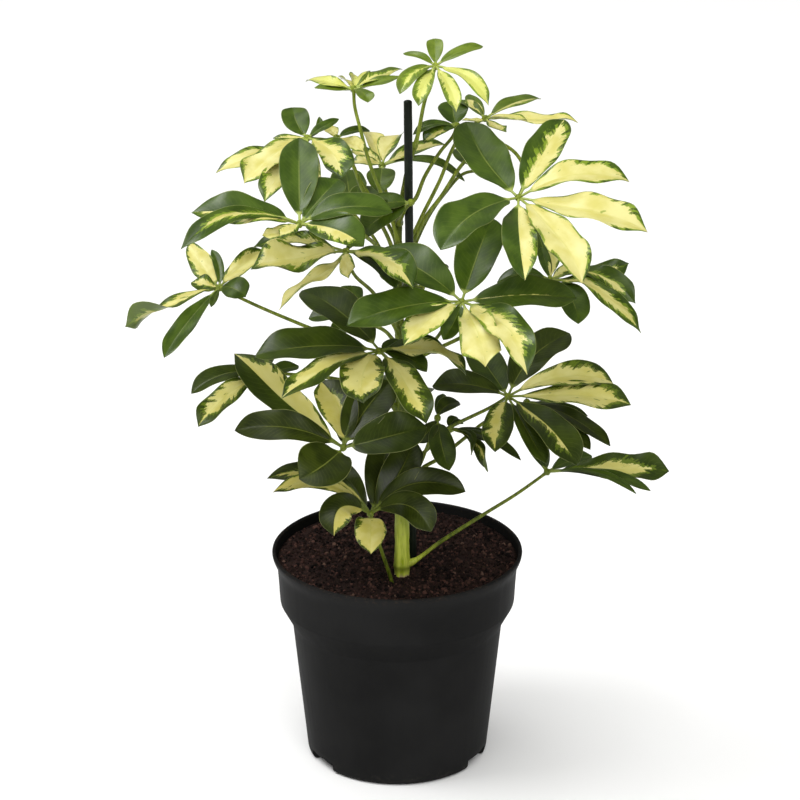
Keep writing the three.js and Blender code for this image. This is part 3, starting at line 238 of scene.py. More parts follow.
LEAVES = {
    "leaf_01": leaf((435.5, 66, 2), (0, 1.0), 148,
        [(418.5, 132, 1), (424, 104, 0), (430, 84, 1)], [
            blade((434.5, 38.5), 11, arch=2, peak=0.66),
            blade((483.2, 46.3), 10, arch=3, bow=3, peak=0.6),
            blade((403, 53.8), 7, arch=3, bow=-3),
            blade((489.5, 104), 11, near=6, arch=4, bow=8, cream=(7, 9)),
            blade((456.3, 111.5), 11.5, near=6, arch=5, bow=3, cream=(9, 5)),
            blade((418.5, 106), 12, near=6, arch=5, bow=-3, cream=(4, 3)),
            blade((399.5, 94), 12, near=4, arch=4, bow=-7, cream=(3, 1)),
        ]),
    "leaf_02": leaf((353.8, 89, 0), (0, 2.0), 243,
        [(391, 217, -2), (381, 193, -6), (369.5, 163, -10), (360.5, 130, -10), (354.5, 105, -5)], [
            blade((305.2, 80.3), 14, arch=3, bow=-1, cream=(8, 8)),
            blade((314.2, 88), 12, near=6, arch=2, bow=1),
            blade((341.5, 77.5), 12, arch=2, roll=30, cream=(9, 9)),
            blade((354.5, 73), 9, arch=2, roll=40, cream=(7, 9)),
            blade((368.2, 69.8), 9, arch=3, roll=-20, cream=(9, 2)),
            blade((403, 67), 13, arch=4, bow=1, cream=(3, 7)),
            blade((401, 76.5), 12, near=8, arch=3, bow=-1),
            blade((368, 102.5), 11, near=3, arch=4, bow=3, peak=0.66),
        ]),
    "leaf_03": leaf((299.5, 224, -112), (0, 0.85), 290,
        [(380, 251, -20), (369, 239, -35), (345, 228, -70), (318, 226, -98)], [
            blade((299, 138), 25, near=2, arch=3, peak=0.58),
            blade((190.5, 211.5), 25, near=12, arch=6, bow=-5, peak=0.58, cream=(6, 0), wave=1.3),
            blade((180.5, 249), 12, near=24, arch=2, bow=-22, roll=-20, peak=0.7, cream=(1, 1),
                  wave=1.6),
            blade((262, 235.5), 12, near=6, arch=3, bow=3, cream=(9, 9), wave=2),
            blade((280, 236.5), 10, near=10, arch=3, cream=(4, 8)),
            blade((393, 212), 21, near=8, arch=6, bow=10),
            blade((364, 246.5), 25, near=12, arch=5, bow=6, cream=(0, 4)),
            blade((339, 179), 21, near=-2, arch=3, bow=1, peak=0.66),
        ]),
    "leaf_04": leaf((307, 138, -20), (0, 1.0), 268,
        [(389, 240, -2), (379, 220, -4), (360, 184, -6), (353, 165, -8), (337, 143, -13)], [
            blade((293, 107.5), 18, arch=3, bow=3, peak=0.58),
            blade((339, 119), 8, near=4, arch=2, bow=1),
            blade((319, 116.5), 5, near=2, arch=2, bow=-6),
            blade((272.5, 138), 6, near=2, arch=2, cream=(2, 4)),
            blade((214.5, 169.5), 14, near=4, arch=4, bow=2, peak=0.66, cream=(9, 7)),
            blade((243, 181.5), 21, near=6, arch=5, bow=-4, peak=0.66, cream=(8, 8)),
            blade((264, 201), 18, near=8, arch=4, bow=-2, peak=0.66, cream=(7, 6)),
            blade((312, 199), 14, near=6, arch=4, cream=(7, 5)),
            blade((342, 178), 22, near=12, arch=5, bow=9, peak=0.6, cream=(3, 6)),
        ]),
    "leaf_05": leaf((382.3, 165.5, 26), (0, 1.2), 228,
        [(392, 207, 18), (385.5, 190, 24)], [
            blade((371, 130), 16, arch=2, bow=2, roll=20, peak=0.72, cream=(8, 9)),
            blade((400.3, 132.5), 17, arch=2, bow=3, roll=-20, peak=0.7, cream=(9, 5)),
            blade((446.5, 143.5), 13, near=4, arch=4, bow=4, cream=(3, 7)),
            blade((465.4, 181.6), 9, near=-12, arch=3, bow=13, peak=0.6),
            blade((350.5, 150), 13, arch=4, bow=-2, cream=(7, 5)),
            blade((352, 164), 12, near=6, arch=3, bow=-3, cream=(6, 6)),
            blade((379.5, 192.5), 19, near=-2, arch=3, peak=0.42),
        ]),
    "leaf_06": leaf((457, 126, 14), (0, 1.0), 205,
        [(413.5, 201, 5), (425, 176, 7), (440, 152, 10), (453, 136, 13)], [
            blade((453.5, 101.5), 20, arch=2, bow=2, peak=0.56),
            blade((413, 135), 8, near=-2, arch=3, bow=-6),
            blade((443.3, 130), 5, near=5, arch=1),
            blade((423, 142.5), 12, near=-4, arch=3, bow=-3, peak=0.66, cream=(6, 1)),
        ]),
    "leaf_07": leaf((411, 202.5, -22), (0, 1.0), 224,
        [(402.5, 215, -13), (406, 208, -20)], [
            blade((361, 234), 26, near=-20, arch=4, bow=-3, peak=0.6),
            blade((366, 208), 18, near=-8, arch=3, bow=-2),
        ]),
    "leaf_08": leaf((485.5, 118.5, 12), (0, 1.8), 262,
        [(411, 239, 10), (424.5, 211, 12), (440, 180, 13),
         (452, 150, 14), (462, 133, 14), (474, 124, 13)], [
            blade((458.5, 99.5), 9, arch=3, bow=-1, cream=(0, 2)),
            blade((469, 94), 10, arch=3, bow=2),
            blade((467, 99), 7, near=5, arch=2, cream=(9, 9)),
            blade((541.3, 98.5), 15, arch=4, bow=4, peak=0.6, cream=(0, 5)),
            blade((579, 121), 15, near=-2, arch=3, bow=1, peak=0.56, cream=(8, 9)),
            blade((528, 118.5), 8, near=9, arch=3, bow=1, cream=(7, 8)),
            blade((506.5, 130.5), 10, near=8, arch=3, bow=-3, peak=0.66, cream=(6, 5)),
            blade((462, 119.5), 6, near=2, arch=1, bow=2, cream=(9, 9)),
        ]),
    "leaf_09": leaf((518.6, 197.8, -70), (0, 1.2), 275,
        [(406.5, 253, -5), (415, 238, -5), (426.5, 216, -6), (441.5, 196, -7), (463.5, 163, -8),
         (482, 148, -9), (500, 144, -11), (512, 150, -18), (522, 163, -32), (524, 182, -52)], [
            blade((465.5, 122), 31, arch=4, bow=6, peak=0.56),
            blade((564.5, 117.5), 24, near=4, arch=4, bow=1, peak=0.56, cream=(2, 7), wave=0.6),
            blade((631.5, 178.5), 25, near=10, arch=5, bow=12, peak=0.58, cream=(7, 9), wave=0.6),
            blade((649, 226.8), 29, near=10, arch=5, bow=1, peak=0.6, cream=(8, 9), wave=0.7),
            blade((583, 279), 25, near=8, arch=6, bow=6, peak=0.6, cream=(8, 9), wave=0.6),
            blade((525.2, 278), 22, near=4, arch=5, bow=-3, peak=0.5, cream=(8, 0)),
            blade((440.5, 250), 31, near=8, arch=6, bow=-11, peak=0.56),
        ]),
    "leaf_10": leaf((550, 280, -38), (0, 1.0), 368,
        [(411, 362, -22), (430, 352, -25), (460, 338, -29), (490, 320, -33), (530, 294, -36)], [
            blade((530, 214), 13, arch=4, bow=-2),
            blade((541, 247), 8, near=6, arch=2),
            blade((556, 247), 9, near=6, arch=2, peak=0.7, cream=(9, 7)),
            blade((580, 266), 10, near=8, arch=3, bow=2, cream=(8, 3)),
            blade((629, 263), 13, near=6, arch=5, bow=-4, peak=0.74, cream=(3, 2), twist=60,
                  wave=1.4),
            blade((635.5, 304), 16, near=10, arch=7, bow=17, peak=0.72, cream=(0.5, 2), wave=2,
                  twist=45),
            blade((641.5, 334), 12, near=16, arch=6, bow=15, peak=0.5, cream=(3, 6), wave=2,
                  twist=75),
            blade((578.3, 324), 20, near=8, arch=5, bow=7, peak=0.55),
            blade((496.8, 283), 11, near=2, arch=4, bow=-8),
        ]),
    "leaf_11": leaf((461.7, 301.8, -112), (0, 0.95), 362,
        [(414, 353, -45), (434, 341, -78), (450, 318, -102)], [
            blade((492, 217.5), 28, near=3, arch=4, bow=1, peak=0.54),
            blade((380.5, 249), 30, near=-2, arch=6, bow=-4, peak=0.6),
            blade((346.8, 326), 29, near=6, arch=6, bow=-7, peak=0.58, cream=(0, 0)),
            blade((403, 344), 20, near=8, arch=4, bow=-4, peak=0.56, cream=(8, 6)),
            blade((486, 363), 25, near=6, arch=5, bow=2, peak=0.68, cream=(9, 9), wave=2),
            blade((528, 373), 25, near=8, arch=6, bow=14, peak=0.44, cream=(3, 9), wave=1.3),
            blade((443, 340), 13, near=-12, arch=3, bow=2),
            blade((577, 298), 28, near=6, arch=5, bow=4, peak=0.56, cream=(0.3, 0)),
        ]),
    "leaf_12": leaf((379.5, 351, -92), (0, 1.2), 380,
        [(394, 367, -45), (386, 357, -75)], [
            blade((301.5, 290.5), 30, near=-6, arch=5, bow=-7, peak=0.56),
            blade((404, 343), 10, near=-4, arch=2, bow=2),
            blade((254.8, 357), 32, near=6, arch=7, bow=-8, peak=0.56),
            blade((280.5, 398), 18, near=6, arch=5, bow=-7, peak=0.6, cream=(1, 7), wave=1.2),
            blade((364, 402.5), 28, near=-2, arch=5, bow=-9, peak=0.52, cream=(6, 6)),
            blade((426.5, 423), 22, near=2, arch=6, bow=4, peak=0.55, cream=(4, 4)),
            blade((468, 374), 17, near=4, arch=6, bow=13, peak=0.6, cream=(7, 7), wave=1.5,
                  twist=-30),
            blade((427, 372), 16, near=-8, arch=3, bow=5),
            blade((446, 350), 18, near=4, arch=3, bow=4, peak=0.6),
        ]),
    "leaf_13": leaf((343.4, 447.7, -70), (0, 0.6), 424,
        [(385, 430, -42), (362, 440, -56)], [
            blade((234, 352), 25, near=12, arch=4, bow=3, peak=0.6, cream=(0, 7)),
            blade((320, 380), 26, near=2, arch=3, bow=-9, peak=0.58, cream=(8, 1)),
            blade((234.3, 430.5), 23, near=8, arch=4, bow=-11, peak=0.6),
            blade((299, 479), 36, near=10, arch=5, bow=3, peak=0.46),
            blade((427, 427), 30, near=6, arch=4, bow=0, peak=0.54),
            blade((391, 381), 30, near=4, arch=3, bow=4, peak=0.56),
            blade((345, 398), 12, near=-6, arch=2, bow=1, wave=1.5),
        ]),
    "leaf_14": leaf((219, 288, -32), (0, 0.9), 398,
        [(390, 375, -24), (350, 345, -26), (300, 324, -26), (262, 308, -27), (234, 295, -30)], [
            blade((125, 327), 19, near=12, arch=5, bow=-4, peak=0.8, cream=(2, 6), twist=150,
                  wave=1.6),
            blade((164, 358), 14, near=10, arch=5, bow=-3, peak=0.6),
            blade((188.5, 239.5), 16, near=2, arch=3, bow=2, peak=0.34, cream=(6, 8), twist=-40,
                  wave=1.5),
            blade((190.5, 282), 13, near=4, arch=2, cream=(2, 5), wave=1.6),
            blade((211.5, 249.5), 7, near=6, arch=2, bow=-4),
            blade((266.5, 248), 14, near=0, arch=3, bow=2, cream=(6, 8), twist=35, wave=1.8),
            blade((246, 297), 17, near=8, arch=3, bow=4, roll=10, peak=0.6, wave=2),
            blade((211, 307), 5, near=8, arch=1),
        ]),
    "leaf_15": leaf((346, 251.5, -82), (0, 1.1), 335,
        [(373.5, 293, -55), (353.5, 273.5, -72)], [
            blade((250.5, 245), 15, near=-10, arch=4, bow=-6, cream=(5, 2), wave=1.8),
            blade((250.5, 270), 27, near=-2, arch=6, bow=-4, peak=0.56, cream=(5, 6), wave=1.9),
            blade((275, 303.5), 12, near=2, arch=4, bow=5, cream=(9, 9), twist=55, wave=1.5),
            blade((348, 278), 10, near=2, arch=3, cream=(7, 8), wave=1.5, twist=30),
            blade((414, 288), 21, near=14, arch=6, bow=12, peak=0.56, cream=(1, 7), wave=1.3),
            blade((396, 289), 13, near=-2, arch=4, bow=9),
            blade((356, 238), 5, arch=1),
        ]),
    "leaf_16": leaf((264, 373, -20), (0, 0.9), 412,
        [(385, 399, -22), (345, 381, -22), (300, 375, -21)], [
            blade((191.3, 394), 15, near=2, arch=4, bow=-10, peak=0.58),
            blade((197.5, 426), 18, near=4, arch=5, bow=-5, peak=0.62, cream=(3, 5)),
            blade((299, 366), 11, near=-6, arch=2),
            blade((268, 347), 12, near=-6, arch=2),
        ]),
    "leaf_17": leaf((508, 396.5, -55), (0, 1.1), 447,
        [(430, 437, -28), (460, 422, -38), (491, 407, -49)], [
            blade((432, 386), 23, near=2, arch=5, bow=-6, peak=0.64),
            blade((474, 348), 24, near=-2, arch=3, bow=0, peak=0.58),
            blade((569.5, 333), 28, near=0, arch=5, bow=10, peak=0.58),
            blade((615.5, 382), 24, near=6, arch=5, bow=12, peak=0.68, cream=(7, 8), wave=0.4),
            blade((632, 402), 25, near=12, arch=5, bow=3, peak=0.68, cream=(6, 6), wave=0.6),
            blade((578, 465), 24, near=4, arch=6, bow=6, peak=0.6, cream=(0, 2)),
            blade((547, 464), 13, near=-8, arch=4, bow=-1, peak=0.6),
            blade((495, 452), 20, near=2, arch=5, bow=-3, peak=0.56, cream=(1, 5)),
        ]),
    "leaf_18": leaf((527, 402, -8), (0, 1.2), 496,
        [(421.5, 469, -20), (438, 459, -19), (466, 437, -18), (485, 422, -16)], [
            blade((610.5, 446.5), 13, near=10, arch=5, bow=7, peak=0.56),
            blade((588, 416.5), 8, near=4, arch=3, bow=3),
            blade((590.5, 450), 13, near=4, arch=4, bow=2, peak=0.66),
        ]),
    "leaf_19": leaf((547.3, 472, -15), (0, 1.0), 565,
        [(414, 561, -31), (440, 542, -29), (485, 513.5, -25), (515, 495, -20), (535, 481, -17)], [
            blade((669.5, 471), 26, near=8, arch=4, bow=3, peak=0.72, cream=(2, 3)),
            blade((651, 491), 9, near=12, arch=4, bow=8, peak=0.66),
            blade((636.8, 494), 6, near=16, arch=4, bow=11, peak=0.66),
            blade((518, 424), 5, near=-2, arch=2, bow=2),
            blade((539, 437), 9, near=-4, arch=2),
            blade((592, 456), 14, near=-4, arch=2, bow=3, peak=0.66),
        ]),
    "leaf_20": leaf((437.5, 418, -40), (0, 0.9), 482,
        [(416.5, 470, -28), (425.5, 451, -32)], [
            blade((459.5, 402.5), 12, near=-4, arch=2, bow=5, peak=0.6),
            blade((443, 393.5), 8, near=-4, arch=2),
            blade((449.3, 471), 17, near=4, arch=4, bow=-2, peak=0.5),
            blade((418, 443), 13, near=2, arch=3, bow=1, peak=0.62),
        ]),
    "leaf_21": leaf((451, 429, -28), (0, 1.0), 470,
        [(428, 449, -23)], [
            blade((457, 417), 8, near=3, arch=1, bow=2),
            blade((463.5, 424), 5, near=4, arch=1, bow=4),
            blade((487, 472.5), 10, near=6, arch=4, bow=10, peak=0.8, cream=(1, 2), twist=130),
            blade((471, 456), 6, near=8, arch=3, bow=13, peak=0.75, twist=90),
            blade((493, 441), 10, near=0, arch=3, bow=2),
            blade((521.3, 460.5), 8, near=2, arch=5, bow=7),
        ]),
    "leaf_22": leaf((370.5, 514, -54), (0, 0.5), None,
        [(391.5, 582, -44), (385, 561, -46), (378, 541, -49), (373, 527, -51)], [
            blade((414.5, 440), 24, near=14, arch=3, bow=-4, peak=0.6),
            blade((386, 439), 24, near=0, arch=3, bow=-3, peak=0.6),
            blade((465.5, 492), 20, near=6, arch=4, bow=20, peak=0.62),
            blade((431, 532), 21, near=8, arch=5, bow=19, peak=0.62),
            blade((371, 554), 21, near=6, arch=4, bow=0, peak=0.38, cream=(8, 7.5), wave=1.5),
            blade((334, 536), 22, near=6, arch=5, bow=-21, peak=0.58, cream=(8, 0)),
            blade((336, 460), 20, near=0, arch=3, bow=4, peak=0.56),
            blade((270.5, 491), 11, near=8, arch=4, bow=-19, peak=0.68, cream=(7, 8)),
            blade((266.5, 478.5), 13, near=-2, arch=4, bow=-23, peak=0.68, cream=(5, 1)),
        ]),
    "leaf_23": leaf((336.5, 138, -2), (0, 1.2), 248,
        [(392, 232, 5), (381, 213, 6), (361, 182, 4), (346, 152, 1)], [
            blade((370, 131), 9, near=-2, arch=2, bow=3),
            blade((328, 126), 9, arch=2, cream=(9, 9)),
            blade((364, 152), 12, near=4, arch=3, bow=2, cream=(8, 8)),
        ]),
    "leaf_24": leaf((348, 315, 10), (0, 0.9), 350,
        [(385, 331, -2), (366, 323, 5)], [
            blade((308.5, 319), 14, arch=3, bow=-2, peak=0.5),
            blade((325, 295), 14, arch=3),
            blade((352, 285.5), 17, arch=3, peak=0.6),
            blade((378, 303), 15, arch=3),
            blade((335, 338), 12, near=2, arch=3),
        ]),
    "leaf_25": leaf((422, 287, 42), (0, 1.9), 314,
        [(408, 302, 14)], [
            blade((384, 273), 21, arch=5, bow=2),
            blade((409, 250), 24, arch=5, bow=1),
            blade((437, 262), 22, arch=5, bow=-1),
            blade((398, 300), 18, arch=5, bow=-2),
        ]),
    "leaf_26": leaf((352, 212, 48), (0, 1.9), 302,
        [(390, 272, 14), (374, 238, 34)], [
            blade((320, 205), 20, arch=5, bow=2),
            blade((346, 170), 25, arch=5),
            blade((375, 186), 22, arch=5, bow=-1),
            blade((328, 230), 18, arch=5, bow=-2),
        ]),
    "leaf_27": leaf((405, 400, 36), (0, 1.9), 425,
        [(402, 410, 8)], [
            blade((373, 396), 20, arch=5, bow=2),
            blade((397, 373), 24, arch=5),
            blade((425, 387), 22, arch=5, bow=-1),
            blade((428, 412), 18, arch=5, bow=-2),
        ]),
    "leaf_28": leaf((484, 170, 46), (0, 1.9), 285,
        [(407, 267, 9), (417, 240, 20), (430, 214, 30), (445, 193, 36), (463, 174, 42)], [
            blade((460, 149), 20, arch=5, bow=2),
            blade((482, 135), 22, arch=5),
            blade((501, 153), 20, arch=5, bow=-1),
            blade((503, 176), 18, arch=5, bow=-2),
        ]),
}

# How old each leaf is, from 0 for the pale young top ones to 1 for the dark low ones.
AGES = {
    "leaf_01": 0.0, "leaf_02": 0.12, "leaf_03": 0.5, "leaf_04": 0.42, "leaf_05": 0.35,
    "leaf_06": 0.5, "leaf_07": 0.75, "leaf_08": 0.28, "leaf_09": 0.5, "leaf_10": 0.65,
    "leaf_11": 0.58, "leaf_12": 0.8, "leaf_13": 0.9, "leaf_14": 0.68, "leaf_15": 0.6,
    "leaf_16": 0.85, "leaf_17": 0.85, "leaf_18": 0.9, "leaf_19": 0.78, "leaf_20": 0.85,
    "leaf_21": 0.85, "leaf_22": 1.0, "leaf_23": 0.45,
}
HIDDEN_AGE = 0.75


# ---------- geometry helpers ----------

def unit(v):
    return v / np.linalg.norm(v)


def sight_line(u, v):
    return AHEAD + RIGHT * ((u - CENTRE) / FOCUS) + UP * ((CENTRE - v) / FOCUS)


def sight(u, v, y):
    """The point on the line of sight through (u, v) at depth y."""
    line = sight_line(u, v)
    return EYE + line * ((y - EYE[1]) / line[1])


def smooth_path(points, count):
    """Centripetal curve through the points, as count + 1 places an equal way apart."""
    points = [np.asarray(p, float) for p in points]
    ends = [2 * points[0] - points[1], *points, 2 * points[-1] - points[-2]]
    dense = []
    for a, b, c, d in zip(ends, ends[1:], ends[2:], ends[3:]):
        ta, tb, tc = (max(np.linalg.norm(q - p) ** 0.5, 1e-4)
                      for p, q in ((a, b), (b, c), (c, d)))
        go = ((b - a) / ta - (c - a) / (ta + tb) + (c - b) / tb) * tb
        stop = ((c - b) / tb - (d - b) / (tb + tc) + (d - c) / tc) * tb
        for t in np.linspace(0, 1, 24, endpoint=False):
            dense.append(b + go * t + (3 * (c - b) - 2 * go - stop) * t ** 2
                         + (2 * (b - c) + go + stop) * t ** 3)
    dense.append(points[-1])
    dense = np.array(dense)
    way = np.concatenate(([0], np.cumsum(np.linalg.norm(np.diff(dense, axis=0), axis=1))))
    places = np.linspace(0, way[-1], count + 1)
    return np.stack([np.interp(places, way, dense[:, k]) for k in range(3)], axis=1), places


def skin_faces(sides, rings, closed=True):
    """Faces over a first pole, rings of points and, where the skin is closed, a last pole."""
    last = 1 + sides * rings
    faces = []
    for k in range(sides):
        m = (k + 1) % sides
        faces.append((0, 1 + k, 1 + m))
        for a in range(1, last - sides, sides):
            faces.append((a + k, a + sides + k, a + sides + m, a + m))
        if closed:
            faces.append((last - sides + k, last, last - sides + m))
    return faces


def object_from(name, data, materials):
    thing = bpy.data.objects.new(name, data)
    bpy.context.scene.collection.objects.link(thing)
    for material in materials:
        data.materials.append(material)
    return thing


def put_in_scene(name, data, location, rotation):
    """A lamp or a camera in its place."""
    thing = object_from(name, data, [])
    thing.location = location
    thing.rotation_euler = rotation
    return thing


def mesh_from(name, points, faces, smooth=True):
    """Mesh in metres from points in mm."""
    mesh = bpy.data.meshes.new(name)
    mesh.from_pydata((np.asarray(points) * MM).tolist(), [],
                     [list(map(int, f)) for f in faces])
    mesh.polygons.foreach_set("use_smooth", [smooth] * len(mesh.polygons))
    mesh.update()
    return mesh


def give_floats(mesh, **values):
    for name, column in values.items():
        layer = mesh.attributes.new(name, "FLOAT", "POINT")
        layer.data.foreach_set("value", np.asarray(column, np.float32))


def give_uv(mesh, uv):
    layer = mesh.uv_layers.new(name="UVMap")
    corners = np.empty(len(mesh.loops), np.int32)
    mesh.loops.foreach_get("vertex_index", corners)
    layer.data.foreach_set("uv", np.asarray(uv, np.float32)[corners].ravel())


def discard(thing):
    """Removes a helper object and its mesh."""
    mesh = thing.data
    bpy.data.objects.remove(thing, do_unlink=True)
    bpy.data.meshes.remove(mesh)


def plain_mesh(thing, name):
    """The thing's evaluated shape as a plain object, with the thing and its modifiers removed."""
    bpy.context.view_layer.update()
    graph = bpy.context.evaluated_depsgraph_get()
    mesh = bpy.data.meshes.new_from_object(thing.evaluated_get(graph), depsgraph=graph)
    if not mesh.polygons:
        raise RuntimeError(f"{name} came out empty")
    mesh.name = name
    discard(thing)
    return object_from(name, mesh, [])


def settle(piece, slot, *nodes):
    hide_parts(*nodes)
    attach(piece, "root")
    return piece


# ---------- geometry node trees ----------

def plug(tree, socket, value):
    """Links a value that is a socket itself to the socket, and sets any other value on it."""
    if isinstance(value, bpy.types.NodeSocket):
        tree.links.new(value, socket)
    else:
        socket.default_value = value


def add_node(tree, kind, links=(), **settings):
    node = tree.nodes.new(kind)
    for key, value in settings.items():
        setattr(node, key, value)
    for socket, value in dict(links).items():
        plug(tree, node.inputs[socket], value)
    return node


def new_tree(name, **inputs):
    """A tree that takes and gives Geometry, with the named inputs besides.

    Returns the tree, a short way to add a node to it, and the sockets of its inputs.
    """
    tree = bpy.data.node_groups.new(name, "GeometryNodeTree")
    for way in ("INPUT", "OUTPUT"):
        tree.interface.new_socket("Geometry", in_out=way, socket_type="NodeSocketGeometry")
    for label, default in inputs.items():
        kind = "NodeSocketInt" if isinstance(default, int) else "NodeSocketFloat"
        socket = tree.interface.new_socket(label, in_out="INPUT", socket_type=kind)
        socket.default_value = default
    tree.interface.new_socket("Material", in_out="INPUT", socket_type="NodeSocketMaterial")
    return tree, functools.partial(add_node, tree), tree.nodes.new("NodeGroupInput").outputs


def finish_tree(tree, geometry, material):
    real = add_node(tree, "GeometryNodeRealizeInstances", {"Geometry": geometry})
    painted = add_node(tree, "GeometryNodeSetMaterial",
                       {"Geometry": real.outputs[0], "Material": material})
    add_node(tree, "NodeGroupOutput", {0: painted.outputs[0]})
    return tree


def rod_tree():
    """Round rod along the edges of a path; its thickness comes from the path's own radius."""
    tree, add, given = new_tree("rod_along_path", Sides=16)
    radius = add("GeometryNodeInputNamedAttribute", {"Name": "radius"}, data_type="FLOAT")
    path = add("GeometryNodeMeshToCurve", {"Mesh": given["Geometry"]})
    ring = add("GeometryNodeCurvePrimitiveCircle", {"Resolution": given["Sides"], "Radius": 1.0})
    skin = add("GeometryNodeCurveToMesh", {
        "Curve": path.outputs[0], "Profile Curve": ring.outputs[0],
        "Scale": radius.outputs[0], "Fill Caps": True})
    smooth = add("GeometryNodeSetShadeSmooth", {"Geometry": skin.outputs[0]})
    return finish_tree(tree, smooth.outputs[0], given["Material"])


def crumb_tree():
    """Crumbs of many sizes, strewn over the faces and turned and lumped at random."""
    tree, add, given = new_tree("strewn_crumbs", Density=9000.0, Smallest=0.0005, Largest=0.002,
                                Detail=2, Stretch=1.6, Seed=3)
    strewn = add("GeometryNodeDistributePointsOnFaces", {
        "Mesh": given["Geometry"], "Density": given["Density"], "Seed": given["Seed"]})
    tone = add("FunctionNodeRandomValue", {"Seed": 11}, data_type="FLOAT")
    toned = add("GeometryNodeStoreNamedAttribute", {
        "Geometry": strewn.outputs["Points"], "Name": "tone", "Value": tone.outputs["Value"]},
        data_type="FLOAT", domain="POINT")
    turn = add("FunctionNodeRandomValue", {"Max": (GRAIN_TURN,) * 3}, data_type="FLOAT_VECTOR")
    # Most crumbs are small: the size goes with the third power of an even draw.
    draw = add("FunctionNodeRandomValue", {"Seed": 5}, data_type="FLOAT")
    skew = add("ShaderNodeMath", {0: draw.outputs["Value"], 1: 3.0}, operation="POWER")
    size = add("ShaderNodeMapRange", {
        "Value": skew.outputs[0], "To Min": given["Smallest"], "To Max": given["Largest"]})
    lengths = [size.outputs[0]] * 3
    for axis, factor in ((0, given["Stretch"]), (2, GRAIN_FLATNESS)):
        lengths[axis] = add("ShaderNodeMath", {0: size.outputs[0], 1: factor},
                            operation="MULTIPLY").outputs[0]
    scale = add("ShaderNodeCombineXYZ", dict(enumerate(lengths)))
    ball = add("GeometryNodeMeshIcoSphere", {"Radius": 1.0, "Subdivisions": given["Detail"]})
    placed = add("GeometryNodeInstanceOnPoints", {
        "Points": toned.outputs[0], "Instance": ball.outputs[0],
        "Rotation": turn.outputs["Value"], "Scale": scale.outputs[0]})
    real = add("GeometryNodeRealizeInstances", {"Geometry": placed.outputs[0]})
    # Every point moves a little by a fine noise about 0, so no crumb stays round.
    lumps = add("ShaderNodeTexNoise", {"Scale": LUMP_SCALE, "Detail": 1.0})
    centred = add("ShaderNodeVectorMath", {0: lumps.outputs["Color"], 1: (0.5, 0.5, 0.5)},
                  operation="SUBTRACT")
    reach = add("ShaderNodeVectorMath", {0: centred.outputs[0], "Scale": LUMP_HEIGHT},
                operation="SCALE")
    lumped = add("GeometryNodeSetPosition", {
        "Geometry": real.outputs[0], "Offset": reach.outputs[0]})
    return finish_tree(tree, lumped.outputs[0], given["Material"])


def run_tree(thing, tree, name, **inputs):
    """Runs the tree on the thing with inputs by name, and returns the plain result."""
    modifier = thing.modifiers.new(tree.name, "NODES")
    modifier.node_group = tree
    keys = {item.name: item.identifier for item in tree.interface.items_tree
            if item.item_type == "SOCKET" and item.in_out == "INPUT"}
    for label, value in inputs.items():
        modifier[keys[label]] = value
    return plain_mesh(thing, name)


def rod(name, centres, radii, sides, material, **columns):
    """Rod through the centres (mm). columns are floats for each centre that the material reads."""
    mesh = bpy.data.meshes.new(name + "_path")
    edges = [(k, k + 1) for k in range(len(centres) - 1)]
    mesh.from_pydata((np.asarray(centres) * MM).tolist(), edges, [])
    give_floats(mesh, radius=np.asarray(radii) * MM, **columns)
    thing = object_from(name + "_path", mesh, [])
    tree = bpy.data.node_groups.get("rod_along_path") or rod_tree()
    return run_tree(thing, tree, name, Sides=sides, Material=material)


# ---------- materials ----------

def srgb(r, g, b):
    """Linear colour from values of 0 to 255 as a screen shows them."""
    return tuple((c / 255 / 12.92) if c <= 10 else ((c / 255 + 0.055) / 1.055) ** 2.4
                 for c in (r, g, b)) + (1.0,)


def opaque(colour):
    return (*colour, 1)


